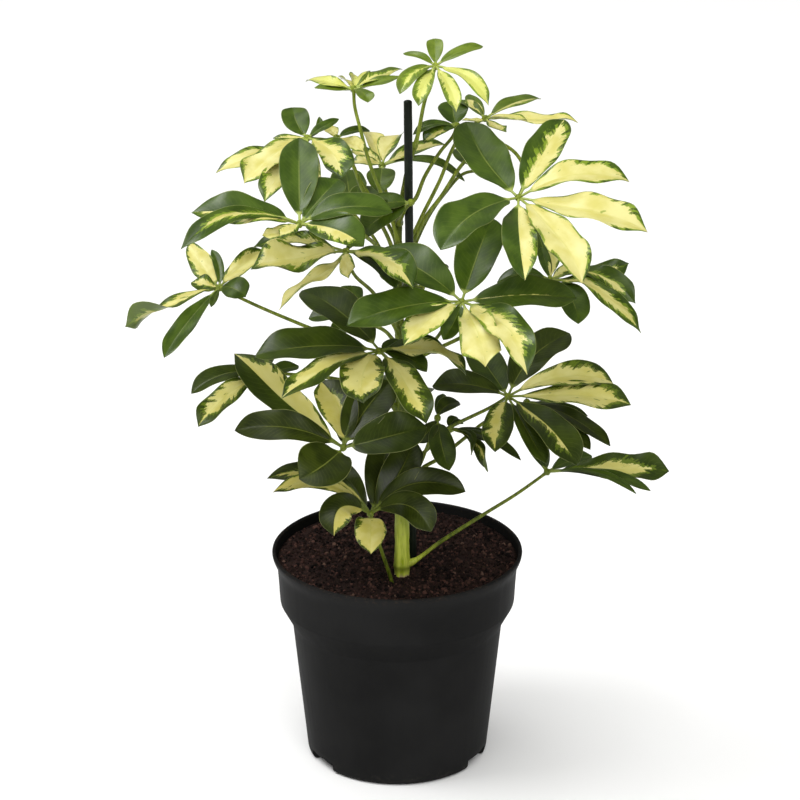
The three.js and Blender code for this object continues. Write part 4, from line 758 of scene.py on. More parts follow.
class Paint:
    """A node material with short ways to add maths, mixes and noise."""

    def __init__(self, name):
        self.material = bpy.data.materials.new(name)
        self.material.use_nodes = True
        self.tree = self.material.node_tree
        self.tree.nodes.clear()
        self.shader = self.add("ShaderNodeBsdfPrincipled")
        self.add("ShaderNodeOutputMaterial", {0: self.shader.outputs[0]})

    def add(self, kind, links=(), **settings):
        return add_node(self.tree, kind, links, **settings)

    def math(self, operation, *values):
        return self.add("ShaderNodeMath", dict(enumerate(values)), operation=operation).outputs[0]

    def times(self, a, b, plus=0.0, clamp=False):
        """a * b + plus, held between 0 and 1 with clamp."""
        return self.add("ShaderNodeMath", {0: a, 1: b, 2: plus}, operation="MULTIPLY_ADD",
                        use_clamp=clamp).outputs[0]

    def ramp(self, value, low, high, most=1.0):
        """Smooth step from 0 where value is low to most where it is high."""
        return self.add("ShaderNodeMapRange", {
            "Value": value, "From Min": low, "From Max": high, "To Max": most},
            interpolation_type="SMOOTHSTEP").outputs[0]

    def mix(self, share, a, b):
        return self.add("ShaderNodeMix", {0: share, 6: a, 7: b}, data_type="RGBA").outputs[2]

    def noise(self, vector, scale, detail=2.0, roughness=0.5):
        return self.add("ShaderNodeTexNoise", {
            "Vector": vector, "Scale": scale, "Detail": detail,
            "Roughness": roughness}).outputs["Fac"]

    def cells(self, *place):
        """A random value for each place."""
        return self.add("ShaderNodeTexWhiteNoise", {"Vector": self.vector(*place)},
                        noise_dimensions="3D").outputs[0]

    def place(self, scale=(1, 1, 1)):
        """Object coordinates, scaled."""
        where = self.add("ShaderNodeTexCoord").outputs["Object"]
        return self.add("ShaderNodeMapping", {"Vector": where, "Scale": scale}).outputs[0]

    def axes(self, vector):
        return tuple(self.add("ShaderNodeSeparateXYZ", {0: vector}).outputs)

    def vector(self, x, y, z):
        return self.add("ShaderNodeCombineXYZ", {"X": x, "Y": y, "Z": z}).outputs[0]

    def read(self, attribute):
        return self.add("ShaderNodeAttribute", attribute_name=attribute).outputs["Fac"]

    def bump(self, height, distance, strength=1.0, under=None):
        links = {"Height": height, "Distance": distance, "Strength": strength}
        if under is not None:
            links["Normal"] = under
        return self.add("ShaderNodeBump", links).outputs[0]

    def finish(self, **sockets):
        for name, value in sockets.items():
            plug(self.tree, self.shader.inputs[name.replace("_", " ")], value)
        return self.material


def cream_pattern(p, is_left, number, vein, count, along, out):
    """Where a leaflet is light, and where it is the lime that borders the light part.

    number is each half leaflet's own, vein runs along it with the slant of the side veins,
    and count is the same in side veins.
    """
    share = p.math("ADD", p.times(p.read("cream_left"), is_left),
                   p.times(p.read("cream_right"), p.math("SUBTRACT", 1.0, is_left)))
    # The border jumps from vein to vein, and less between finer ones.
    step = p.cells(p.math("FLOOR", count), number, 0.0)
    fine = p.cells(p.math("FLOOR", p.times(vein, FINE_VEINS)), number, 4.0)
    broad = p.noise(p.vector(p.times(vein, 2.6), p.times(out, 0.5), number), 1.0)
    jag = p.math("ADD", p.times(step, 0.34, -0.17), p.times(broad, 1.3, -0.65))
    jag = p.math("ADD", jag, p.times(fine, 0.16, -0.08))
    reach = p.times(p.times(share, 5.0, clamp=True), jag, share)
    # A green margin stays, and a green tip unless the whole half is light.
    reach = p.math("MINIMUM", reach, p.times(broad, 0.7, p.times(step, 0.2, 0.42)))
    near_tip = p.times(p.ramp(along, 0.72, 1.0), p.ramp(share, 1.05, 0.75))
    reach = p.times(near_tip, -0.7, reach)
    light = p.ramp(p.math("SUBTRACT", reach, out), -0.012, 0.02)
    flecks = p.noise(p.vector(p.times(vein, 13.0), p.times(out, 2.4), number), 1.0)
    light = p.times(light, p.times(p.ramp(flecks, 0.7, 0.72), -0.7, 1.0))
    halo_reach = p.math("ADD", reach, p.times(fine, 0.3, 0.05))
    halo = p.times(p.ramp(p.math("SUBTRACT", halo_reach, out), -0.02, 0.02),
                   p.math("GREATER_THAN", share, 0.04))
    return light, halo


def leaf_colours(p, look, age, mottle):
    """Green, lime and cream of the leaf's age, each softly mottled."""
    young, middle, old = (
        p.mix(p.ramp(mottle, 0.35, 0.65), opaque(dark), bright) for dark, bright in (
            (look.young_green, srgb(106, 126, 32)), (look.green, srgb(66, 88, 16)),
            (look.old_green, srgb(50, 60, 8))))
    green = p.mix(p.ramp(age, 0.0, 0.45), young, middle)
    green = p.mix(p.ramp(age, 0.55, 1.0), green, old)
    yellow = p.mix(p.ramp(age, 0.5, 0.9), srgb(132, 156, 40), srgb(96, 114, 26))
    cream = p.mix(p.ramp(mottle, 0.3, 0.7), opaque(look.cream), srgb(198, 190, 102))
    cream = p.mix(p.ramp(age, 0.7, 1.0, 0.45), cream, srgb(176, 164, 60))
    cream = p.mix(p.ramp(age, 0.3, 0.0, 0.7), cream, srgb(196, 204, 92))
    return green, p.mix(0.72, green, yellow), cream


def leaf_paint(look):
    """Variegated leaf: cream that breaks off along the side veins, green margins, pale midrib."""
    p = Paint("variegated_leaf")
    along, cross, _ = p.axes(p.add("ShaderNodeUVMap", uv_map="UVMap").outputs[0])
    across = p.times(cross, 2.0, -1.0)
    out = p.math("ABSOLUTE", across)
    is_left = p.math("GREATER_THAN", across, 0.0)
    number = p.times(is_left, 7.3, p.times(p.read("leaflet"), 91.0))
    age = p.read("age")
    top = p.ramp(p.read("face"), -0.3, 0.3)
    wander = p.noise(p.vector(along, out, number), 3.0)
    vein = p.times(wander, 0.05, p.times(out, VEIN_SLANT, along))
    count = p.times(vein, SIDE_VEINS)
    light, halo = cream_pattern(p, is_left, number, vein, count, along, out)
    mottle = p.noise(p.vector(p.times(along, 5.0), p.times(across, 1.2), number), 1.0, 3.0)
    green, lime, cream = leaf_colours(p, look, age, mottle)
    colour = p.mix(light, p.mix(halo, green, lime), cream)
    # Veins: faint side veins, a pale midrib and a thin pale edge.
    rib = p.times(p.ramp(out, 0.045, 0.01), p.ramp(along, 1.0, 0.45))
    between = p.math("ABSOLUTE", p.math("SUBTRACT", p.math("FRACT", count), 0.5))
    side_vein = p.times(p.ramp(between, 0.40, 0.48), p.ramp(out, 0.95, 0.5))
    colour = p.mix(p.times(side_vein, 0.05), colour, srgb(170, 182, 96))
    colour = p.mix(p.times(rib, 0.2), colour, srgb(160, 172, 78))
    colour = p.mix(p.ramp(out, 0.965, 0.99, 0.5), colour, srgb(190, 196, 120))
    # The stalk part is plain green, and the underside is duller and paler.
    bare = p.mix(p.ramp(age, 0.3, 1.0), srgb(158, 172, 84), srgb(104, 116, 44))
    colour = p.mix(p.ramp(along, 0.15, 0.11), colour, bare)
    colour = p.mix(top, p.mix(0.45, colour, srgb(112, 128, 70)), colour)
    # The blade rises between its side veins, sinks at the midrib and is finely pored.
    quilt = p.times(p.math("SINE", p.times(count, math.tau)), p.ramp(out, 0.05, 0.4))
    relief = p.math("ADD", p.times(quilt, 0.5), p.times(rib, -1.5))
    pores = p.noise(p.vector(p.times(along, 160.0), p.times(across, 26.0), number), 1.0)
    normal = p.bump(pores, 0.00008, 0.4, p.bump(relief, look.vein_relief, 0.5))
    rough = p.times(mottle, 0.16, p.times(top, -0.16, look.roughness + 0.1))
    # Young leaves are waxed and old ones dull.
    return p.finish(Base_Color=colour, Roughness=rough, Normal=normal,
                    Coat_Weight=p.times(age, -0.9, 1.05, clamp=True), Coat_Roughness=0.3,
                    Specular_IOR_Level=0.2)


def stem_paint(look):
    """Living stem: yellow green with darker streaks, dull rings and a dry pale foot."""
    p = Paint("living_stem")
    streak = p.noise(p.place((420, 420, 26)), 1.0, 4.0, 0.6)
    patch = p.noise(p.place((40, 40, 22)), 1.0, 3.0)
    fresh = p.mix(p.ramp(streak, 0.36, 0.66), srgb(112, 130, 34), opaque(look.stem))
    aged = p.mix(p.ramp(streak, 0.36, 0.66), srgb(52, 64, 6), srgb(90, 102, 14))
    colour = p.mix(p.read("age"), fresh, aged)
    # The bare trunk above the soil is its own paler green, painted brighter still as light,
    # and its left side is painted darker as shade.
    x, y, z = p.axes(p.place())
    low = p.times(p.ramp(z, *LIT_BARK_Z), p.ramp(x, *LIT_BARK_X))
    low = p.times(low, p.ramp(y, *LIT_BARK_Y))
    bright = p.mix(p.ramp(streak, 0.3, 0.6), srgb(168, 186, 36), srgb(220, 230, 92))
    # Painted light over the bark's own paler green: the bare trunk is brightened.
    colour = p.mix(low, colour, bright)
    # Painted shade: the left side of the bare trunk is darker.
    colour = p.mix(p.times(low, p.ramp(x, *SHADED_X, 0.6)), colour, srgb(96, 116, 34))
    colour = p.mix(p.ramp(patch, 0.5, 0.7, 0.3), colour, srgb(104, 116, 34))
    pore = p.add("ShaderNodeTexVoronoi", {"Vector": p.place((1, 1, 0.45)), "Scale": 520.0})
    pore = p.ramp(pore.outputs["Distance"], 0.2, 0.1, 0.35)
    colour = p.mix(pore, colour, srgb(190, 180, 118))
    colour = p.mix(p.times(p.read("ring"), 0.65), colour, srgb(78, 92, 22))
    flakes = p.ramp(p.noise(p.place((300, 300, 300)), 1.0, 3.0), 0.44, 0.54)
    colour = p.mix(p.times(p.read("foot"), flakes), colour, srgb(176, 158, 118))
    height = p.times(pore, 1.6, streak)
    return p.finish(Base_Color=colour, Roughness=p.times(streak, 0.25, 0.36),
                    Normal=p.bump(height, 0.00012, 0.4), Specular_IOR_Level=0.3)


def pot_paint(look):
    """Moulded black plastic with a fine grain, faint draw marks, a little soil dust and a band of
    painted shade on the shoulder.
    """
    p = Paint("black_pot_plastic")
    where = p.place()
    high = p.axes(where)[2]
    grain = p.noise(where, 1500.0)
    draw = p.noise(p.place((260, 260, 5)), 1.0, 3.0)
    cloud = p.noise(where, 14.0, 3.0)
    shoulder = p.times(p.ramp(high, *SHADED_SHOULDER_START), p.ramp(high, *SHADED_SHOULDER_STOP))
    rim_dust = p.times(p.ramp(high, *RIM_DUST),
                       p.ramp(p.noise(where, 420.0, 4.0, 0.7), 0.5, 0.68, 0.3))
    foot_dust = p.times(p.ramp(high, *FOOT_DUST),
                        p.ramp(p.noise(where, 160.0, 4.0, 0.7), 0.48, 0.7, 0.22))
    colour = p.mix(p.ramp(cloud, 0.3, 0.7), opaque(look.plastic), srgb(32, 32, 32))
    # Painted shade: the shoulder band, which faces down, is darker.
    colour = p.mix(p.times(shoulder, 0.35), colour, srgb(14, 14, 14))
    colour = p.mix(rim_dust, colour, srgb(72, 58, 46))
    colour = p.mix(foot_dust, colour, srgb(84, 78, 70))
    rough = p.times(cloud, 0.14, p.times(draw, 0.1, look.roughness))
    return p.finish(Base_Color=colour, Roughness=p.times(shoulder, 0.1, rough, clamp=True),
                    Normal=p.bump(grain, 0.00006, 0.5, p.bump(draw, 0.00025, 0.35)),
                    IOR=1.16, Specular_IOR_Level=0.25)


def soil_paint(look):
    """Peat: near black brown with fibres and a few pale specks."""
    p = Paint("peat_soil")
    where = p.place()
    clod = p.noise(where, 240.0, 5.0, 0.7)
    colour = p.mix(p.ramp(clod, 0.36, 0.7), opaque(look.soil), srgb(48, 32, 29))
    colour = p.mix(p.ramp(p.noise(where, 40.0, 3.0), 0.4, 0.7, 0.5), colour, srgb(14, 10, 10))
    # Each grain has a tone of its own. The soil bed's tone is 0, which changes nothing.
    tone = p.read("tone")
    dark = p.times(p.ramp(tone, 0.45, 0.0), p.ramp(tone, 0.0, 0.01))
    colour = p.mix(dark, colour, srgb(9, 6, 6))
    colour = p.mix(p.ramp(tone, 0.6, 1.0), colour, srgb(80, 55, 48))
    colour = p.mix(p.ramp(tone, 0.975, 0.99), colour, srgb(96, 74, 64))
    fine = p.noise(where, 900.0, 4.0, 0.7)
    return p.finish(Base_Color=colour, Roughness=0.95, Specular_IOR_Level=0.2,
                    Normal=p.bump(fine, 0.0006, 0.9, p.bump(clod, 0.0012, 0.8)))


def stake_paint(look):
    """Stained cane: green black with a fine long grain."""
    p = Paint("stained_cane")
    grain = p.noise(p.place((900, 900, 14)), 1.0, 4.0, 0.6)
    wear = p.noise(p.place((90, 90, 60)), 1.0, 4.0, 0.65)
    colour = p.mix(p.ramp(grain, 0.35, 0.65), opaque(look.stain), srgb(19, 27, 16))
    colour = p.mix(p.ramp(wear, 0.58, 0.72, 0.4), colour, srgb(40, 48, 32))
    return p.finish(Base_Color=colour, Roughness=p.times(wear, 0.2, 0.36),
                    Normal=p.bump(grain, 0.00025, 0.6), Specular_IOR_Level=0.18)


def floor_paint(look):
    """Pale floor with a hint of cloud."""
    p = Paint("pale_floor")
    pale, cloudy = look.shade, look.shade - 0.01
    colour = p.mix(p.noise(p.place(), 1.5, 3.0), opaque((pale,) * 3),
                   opaque((cloudy, cloudy, look.shade - 0.012)))
    return p.finish(Base_Color=colour, Roughness=0.9, Specular_IOR_Level=0.1)


# ---------- pot and soil ----------

def turned_mesh(name, angles, rings):
    """Closed skin about z. rings holds for each ring its radii and heights by angle."""
    points = [(0.0, 0.0, rings[0][1][0])]
    for radii, heights in rings:
        points += [(r * math.sin(a), -r * math.cos(a), z)
                   for a, r, z in zip(angles, radii, heights)]
    points.append((0.0, 0.0, rings[-1][1][0]))
    faces = [f[:1] + f[:0:-1] for f in skin_faces(len(angles), len(rings))]
    return mesh_from(name, points, faces)


def notch_shares(angles, span):
    """For each angle 1 inside a notch's span and 0 outside it, with a short step between."""
    shares = []
    for angle in angles:
        away = min(abs((math.degrees(angle) - centre + 180) % 360 - 180)
                   for centre in NOTCH_CENTRES)
        shares.append(min(1.0, max(0.0, (span / 2 - away) / SIDE_WIDTH + 0.5)))
    return shares


def pot_angles():
    """Even angles, with two more at each side of a notch."""
    angles = [math.radians(k * ANGLE_STEP) for k in range(round(360 / ANGLE_STEP))]
    for centre in NOTCH_CENTRES:
        for span in (NOTCH_SPAN, DRAIN_SPAN, HOUSING_SPAN):
            for side in (-span / 2, span / 2):
                angles += [math.radians((centre + side + off) % 360) for off in SIDE_ANGLES]
    return sorted(angles)


def notched_rings(rows, shares):
    """A ring of radii and heights for each row of a plain place and the place in a notch."""
    return [[[a + (b - a) * share for share in shares] for a, b in zip(plain, cut)]
            for plain, cut in rows]


def pot_mesh():
    angles = pot_angles()
    back, top, base = NOTCH_BACK, NOTCH_HEIGHT, BASE_RADIUS
    # Up the outside of the foot: each row is the plain place, and the place inside a notch.
    rings = notched_rings((
        ((30, 0), (30, 0)), ((back - 0.6, 0), (back - 0.6, 0)), ((back - 0.1, 0), (back, 0.4)),
        ((back + 0.9, 0), (back, 1.6)), ((base - 3.6, 0), (back, 2.9)),
        ((base - 2.2, 0.3), (back, 3.1)), ((base - 1.1, 1.05), (back, 5.8)),
        ((base - 0.35, 2.2), (back, 6.0)), ((base, FOOT_TOP), (back + 0.3, top - 0.25)),
        ((base + 0.15, 5.0), (back + 0.8, top)), ((base + 0.3, 6.4), (base - 0.4, top)),
        ((base + 0.34, 6.8), (base + 0.2, top)), ((base + 0.4, 7.4), (base + 0.42, 7.5)),
    ), notch_shares(angles, NOTCH_SPAN))
    drain = notch_shares(angles, DRAIN_SPAN)
    for row in DRAIN_ROWS:
        rings[row][0] = [r - DRAIN_DEPTH * share for r, share in zip(rings[row][0], drain)]
    slope = (SHOULDER[0] - base) / (SHOULDER[1] - FOOT_TOP)
    taper = tuple((base + slope * (z - FOOT_TOP), z) for z in TAPER_HEIGHTS)
    rings += [([r] * len(angles), [z] * len(angles)) for r, z in taper + POT_WALL]
    rings += notched_rings(POT_FLOOR, notch_shares(angles, HOUSING_SPAN))
    return turned_mesh("pot_body", angles, rings)


@functools.lru_cache
def soil_waves(seed, length):
    """Turn, pace, phase and height of a few waves that cross the soil."""
    rng = np.random.default_rng(seed)
    waves = []
    for _ in range(14):
        turn = rng.uniform(0, math.tau)
        pace = rng.uniform(0.5, 2.2) / length
        waves.append((turn, pace, rng.uniform(0, math.tau), 0.6 / (0.4 + pace * length)))
    return waves


def ripple(x, y, seed, length):
    """Smooth uneven value about 0."""
    total = 0.0
    for turn, pace, phase, height in soil_waves(seed, length):
        run = (x * math.cos(turn) + y * math.sin(turn)) * pace * math.tau
        total += math.sin(run + phase) * height
    return total / 4.0


def soil_height(x, y):
    height = SOIL_TOP + SOIL_MOUND * (1 - (math.hypot(x, y) / MOUTH_RADIUS) ** 2)
    for rise, seed, length in SOIL_WAVES:
        height += rise * ripple(x, y, seed, length)
    return height - SOIL_SETTLED


def soil_ring(radius, sides):
    """Points (x, y, z) of a ring that follows the soil's top."""
    angles = [math.tau * k / sides for k in range(sides)]
    flat = [(radius * math.sin(a), -radius * math.cos(a)) for a in angles]
    return [(x, y, soil_height(x, y)) for x, y in flat]


def soil_mesh():
    angles = [math.tau * k / SOIL_SIDES for k in range(SOIL_SIDES)]
    rings = [([r] * SOIL_SIDES, [z] * SOIL_SIDES) for r, z in SOIL_HIDDEN]
    for r in SOIL_RINGS:
        dip = SOIL_MARGIN if r == SOIL_RINGS[0] else 0.0
        rings.append(([r] * SOIL_SIDES, [z - dip for _, _, z in soil_ring(r, SOIL_SIDES)]))
    mesh = turned_mesh("soil_bed", angles, rings)
    give_floats(mesh, tone=[0.0] * len(mesh.vertices))
    return mesh


def strewing_mesh():
    """Flat rings that follow the soil's top, for grains to be strewn on."""
    points = [(0.0, 0.0, soil_height(0, 0))]
    for k in range(1, STREWN_RINGS + 1):
        points += soil_ring(STREWN_RADIUS * k / STREWN_RINGS, STREWN_SIDES)
    return mesh_from("strewing", points, skin_faces(STREWN_SIDES, STREWN_RINGS, closed=False))


# ---------- trunk, stalks and leaflets ----------

def rounded_end(centres, radii, depth):
    """Adds a rounded end of that depth to a rod's last point."""
    way = unit(centres[-1] - centres[-2])
    r = radii[-1]
    tip = centres[-1]
    centres, radii = list(centres), list(radii)
    for share in (0.35, 0.65, 0.86, 0.97, 1.0):
        centres.append(tip + way * depth * share)
        radii.append(max(r * math.sqrt(max(0.0, 1 - share ** 2)), 0.05))
    return np.array(centres), np.array(radii)


def bulge(way, place, reach):
    """1 at the place along the way, falling off to 0 on both sides."""
    return np.exp(-((way - place) / reach) ** 2)


def trunk_at(row):
    """Centre and radius of the trunk at row v of the view."""
    rows = np.array(TRUNK, float)
    order = np.argsort(rows[:, 1])
    u, y, r = (np.interp(row, rows[order, 1], rows[order, k]) for k in (0, 2, 3))
    return sight(u, row, y), r


def trunk_rod(material):
    """The trunk, with a scar where each leaf grows and a ring near the soil."""
    rows = [sight(u, v, y) for u, v, y, _ in TRUNK]
    foot = rows[0] + np.array((-1, 2, -TRUNK_SUNK))
    centres, way = smooth_path([foot, *rows], TRUNK_STEPS)

    def way_at(place):
        return way[np.argmin(np.linalg.norm(centres - place, axis=1))]

    knots = [way_at(place) for place in (foot, *rows)]
    radii = np.interp(way, knots, [TRUNK[0][3] * 0.8] + [row[3] for row in TRUNK])
    scar = np.zeros(len(way))
    for item in LEAVES.values():
        if item["start"] is not None:
            place = way_at(trunk_at(item["start"])[0])
            scar = np.maximum(scar, bulge(way, place, SCAR_REACH))
    above, reach, rise = TRUNK_RING
    ring = bulge(way, knots[1] + above, reach)
    radii = radii + SCAR_RISE * scar * (radii / 4) + rise * ring
    radii = radii * (1 + sum(share * np.sin(way * pace + phase)
                             for share, pace, phase in TRUNK_UNEVEN))
    age = 0.35 + 0.3 * np.sin(way * 0.045) ** 2
    age = np.where(way > knots[TRUNK_DARK_FROM], age + 0.25, age - 0.25)
    dry = np.exp(-np.clip(way - knots[1], 0, None) / 1.6)
    centres, radii = rounded_end(centres, radii, 1.0)
    spare = len(radii) - len(way)
    return rod("trunk_stem", centres, radii, TRUNK_SIDES, material,
               ring=np.append(np.maximum(scar * 0.8, ring), [0] * spare),
               age=np.clip(np.append(age, [0.3] * spare), 0, 1),
               foot=np.append(dry, [0] * spare))


def half_width(s, width, peak, sharp):
    """Half width of a leaflet at the shares s of its length."""
    x = np.clip((s - STALK_SHARE) / (1 - STALK_SHARE), 0, 1)
    rise, fall = peak * OUTLINE_POWER, (1 - peak) * OUTLINE_POWER
    most = peak ** rise * (1 - peak) ** fall
    shape = x ** rise * (1 - x) ** fall / most
    # From POINT_FROM on, a straighter run to a pointed tip.
    start = POINT_FROM ** rise * (1 - POINT_FROM) ** fall / most
    bend = 1 + (rise / POINT_FROM - fall / (1 - POINT_FROM)) * (1 - POINT_FROM)
    t = np.clip((x - POINT_FROM) / (1 - POINT_FROM), 0, 1)
    run = start * (1 - t) * (1 + bend * t) * (1 - 0.7 * sharp * t * t)
    shape = np.where(x > POINT_FROM, run, shape)
    return np.maximum(STALK_HALF * np.sqrt(np.clip(1 - x, 0, 1)), 0.5 * width * shape)


# The rings of a leaflet, as shares of its length, and the points across a ring.
STATIONS = np.concatenate((
    [0.0, 0.03, 0.06, 0.08, 0.095],
    STALK_SHARE + (1 - STALK_SHARE) * (0.5 * np.linspace(0.02, 1, 26)
                                       + 0.25 * (1 - np.cos(np.pi * np.linspace(0.02, 1, 26))))))
ACROSS = np.array((-1, -0.955, -0.8, -0.58, -0.34, -0.13, 0, 0.13, 0.34, 0.58, 0.8, 0.955, 1))


def leaflet_spine(item, row):
    """Middle line of a leaflet, its left and its top at each station, and its length."""
    hub = sight(*item["hub"])
    hub_u, hub_v = item["hub"][:2]
    u, v = row["tip"]
    depth = (hub - EYE) @ AHEAD
    scale = depth / FOCUS
    lean = item["lean"]
    fall_back = lean[0] * (u - hub_u) * scale + lean[1] * (hub_v - v) * scale
    tip = EYE + sight_line(u, v) * (depth + fall_back - row["near"])
    normal = unit(RIGHT * lean[0] + UP * lean[1] - AHEAD)
    du, dv = u - hub_u, v - hub_v
    side = (RIGHT * dv + UP * du) / math.hypot(du, dv)
    middle = (hub + tip) / 2 + side * 2 * row["bow"] * scale - AHEAD * 2 * row["arch"]
    s = STATIONS[:, None]
    at = hub * (1 - s) ** 2 + middle * 2 * s * (1 - s) + tip * s ** 2
    along = (middle - hub) * (1 - s) + (tip - middle) * s
    along /= np.linalg.norm(along, axis=1)[:, None]
    flat = np.cross(normal, along)
    flat /= np.linalg.norm(flat, axis=1)[:, None]
    top = np.cross(along, flat)
    twist = np.clip((s - TWIST_FROM) / (1 - TWIST_FROM), 0, 1) ** 1.5
    turn = np.radians(row["roll"] + row["twist"] * twist)
    left = flat * np.cos(turn) + top * np.sin(turn)
    return at, left, np.cross(along, left), np.linalg.norm(tip - hub)


def leaflet_skin(item, row, rng):
    """Points, faces, uv and face side of one leaflet: rings about its midrib and two poles."""
    at, left, top, length = leaflet_spine(item, row)
    # Cream tissue grows slower than green: the more of it, the wavier and sharper the leaflet.
    light_share = sum(row["cream"]) / (2 * CREAM_FULL)
    unrest = row["wave"] * (1 + 1.3 * light_share)
    half = half_width(STATIONS, row["width"], row["peak"], min(max(unrest - 1, 0), 1))
    bladed = np.clip((STATIONS - STALK_SHARE) / BLADE_RUN, 0, 1)
    bladed = bladed * bladed * (3 - 2 * bladed)
    beats = max(1.2, length / WAVE_LENGTH)
    phases = rng.uniform(0, math.tau, 3)
    swing = WAVE_HEIGHT * unrest * rng.uniform(0.7, 1.3)
    sway = SWAY * length * max(unrest - 0.6, 0) * bladed
    sway = sway * np.sin(math.tau * beats * 0.55 * STATIONS + phases[2])
    hang = np.clip((STATIONS - DROOP_FROM) / (1 - DROOP_FROM), 0, 1) ** 2
    at = at + top * (sway - DROOP * length * light_share * hang)[:, None]
    out = np.abs(ACROSS)
    skip = len(ACROSS) - 2
    points, uv, face = [at[0]], [(0.0, 0.5)], [1.0]
    for i in range(1, len(STATIONS) - 1):
        place = STATIONS[i]
        wave = np.where(ACROSS > 0,
                        np.sin(math.tau * beats * place + phases[0]),
                        np.sin(math.tau * beats * place + phases[1]))
        rise = bladed[i] * half[i] * (CUPPING * out ** 1.15 + swing * wave * out ** 2.2)
        # The ring is round in the stalk part and flat, with a midrib, in the blade.
        stalk = (1 - bladed[i]) * (STALK_HALF * np.sqrt(np.clip(1 - out ** 2, 0, 1)))
        thick = HALF_THICK * (1 - out ** 8)
        rib = np.exp(-(ACROSS * half[i] / RIB_HALF) ** 2) * (1 - place)
        upper = bladed[i] * (thick - RIB_GROOVE * rib) + stalk
        lower = bladed[i] * (thick + RIB_RIDGE * rib) + stalk
        base = at[i] + np.outer(ACROSS * half[i], left[i]) + np.outer(rise, top[i])
        over = base + np.outer(upper, top[i])
        beneath = base - np.outer(lower, top[i])
        points += list(over[::-1]) + list(beneath[1:-1])
        uv += [(place, 0.5 + 0.5 * x) for x in (*ACROSS[::-1], *ACROSS[1:-1])]
        face += [0.0] + [1.0] * skip + [0.0] + [-1.0] * skip
    points.append(at[-1])
    uv.append((1.0, 0.5))
    face.append(1.0)
    return np.array(points), skin_faces(2 * len(ACROSS) - 2, len(STATIONS) - 2), uv, face


def hub_skin(centre, radius, rng):
    """Points and faces of the small knob where the leaflets meet."""
    points = [centre + np.array((0, 0, radius))]
    for i in range(1, HUB_RINGS + 1):
        tilt = math.pi * i / (HUB_RINGS + 1)
        for k in range(HUB_SIDES):
            turn = math.tau * k / HUB_SIDES
            r = radius * (1 + 0.08 * rng.standard_normal())
            points.append(centre + r * np.array((math.sin(tilt) * math.cos(turn),
                                                 math.sin(tilt) * math.sin(turn), math.cos(tilt))))
    points.append(centre - np.array((0, 0, radius)))
    return np.array(points), skin_faces(HUB_SIDES, HUB_RINGS)


def stalk_path(item, age):
    """Centres and radii of a leaf's stalk, the way along it and how much of it is sunk."""
    centres = [sight(*place) for place in item["route"]]
    if item["start"] is None:
        centres.insert(0, centres[0] + np.array((1.5, 1, -SHOOT_SUNK)))
        sunk, collar, run = SHOOT_SUNK, 0.0, COLLAR_RUN[0]
    else:
        spot, sunk = trunk_at(item["start"])
        centres.insert(0, spot)
        flare = age ** 3
        collar, run = (young + more * flare for young, more in (COLLAR, COLLAR_RUN))
    centres.append(sight(*item["hub"]))
    path, way = smooth_path(centres, max(24, 8 * len(centres)))
    radii = PETIOLE_FOOT + (PETIOLE_RADIUS - PETIOLE_FOOT) * (way / way[-1])
    radii = radii + collar * bulge(way, sunk, run) + NECK * bulge(way, way[-1], NECK_RUN)
    return path, radii, way, sunk


class LeafSkin:
    """A leaf's mesh that grows part by part, with the float columns that its materials read."""

    COLUMNS = ("age", "ring", "foot", "cream_left", "cream_right", "leaflet", "face")

    def __init__(self):
        self.points, self.faces, self.uv = [], [], []
        self.columns = {key: [] for key in self.COLUMNS}
        self.total = 0

    def join(self, points, faces, uv=None, **columns):
        """Adds a part. A column is one value or one for each point, and 0 where it isn't given."""
        self.faces += [tuple(i + self.total for i in f) for f in faces]
        self.points.append(points)
        self.uv.append(np.zeros((len(points), 2)) if uv is None else uv)
        for key, parts in self.columns.items():
            parts.append(np.broadcast_to(np.asarray(columns.get(key, 0), float), len(points)))
        self.total += len(points)

    def join_rod(self, thing):
        """Adds a rod's mesh, and removes the rod."""
        mesh = thing.data
        flat = np.empty(len(mesh.vertices) * 3)
        mesh.vertices.foreach_get("co", flat)
        columns = {}
        for key in self.COLUMNS:
            if key in mesh.attributes:
                columns[key] = np.empty(len(mesh.vertices))
                mesh.attributes[key].data.foreach_get("value", columns[key])
        self.join(flat.reshape(-1, 3) / MM, [tuple(f.vertices) for f in mesh.polygons], **columns)
        discard(thing)

    def mesh(self, name):
        mesh = mesh_from(name, np.concatenate(self.points), self.faces)
        give_floats(mesh, **{key: np.concatenate(parts) for key, parts in self.columns.items()})
        give_uv(mesh, np.concatenate(self.uv))
        return mesh


def build_leaf(name, item, materials, serial):
    """A whole leaf. materials are those of the leaflets and of the stalk, in this order."""
    rng = np.random.default_rng(LEAF_SEED + serial)
    age = AGES.get(name, HIDDEN_AGE)
    path, radii, way, sunk = stalk_path(item, age)
    skin = LeafSkin()
    skin.join_rod(rod(name + "_stalk", path, radii, PETIOLE_SIDES, materials[1],
                      ring=0.5 * bulge(way, sunk, 2.0), age=np.full(len(way), 0.15 + 0.75 * age)))
    skin.join(*hub_skin(path[-1], HUB_RADIUS, rng), age=0.15 + 0.5 * age)
    stem_faces = len(skin.faces)
    for row in item["blades"]:
        points, faces, uv, face = leaflet_skin(item, row, rng)
        own = rng.uniform()
        left, right = row["cream"]
        skin.join(points, faces, uv, leaflet=own, face=face,
                  age=np.clip(age + rng.uniform(-0.07, 0.07), 0, 1),
                  cream_left=left / CREAM_FULL, cream_right=right / CREAM_FULL)
    mesh = skin.mesh(name + "_foliage")
    thing = object_from(name + "_foliage", mesh, materials)
    slots = np.zeros(len(skin.faces), np.int32)
    slots[:stem_faces] = 1
    mesh.polygons.foreach_set("material_index", slots)
    mesh.update()
    return thing


# ---------- settings ----------

def colour_property(label, words, default):
    return FloatVectorProperty(name=label, description=words, subtype="COLOR", size=3,
                               min=0.0, max=1.0, default=default[:3])


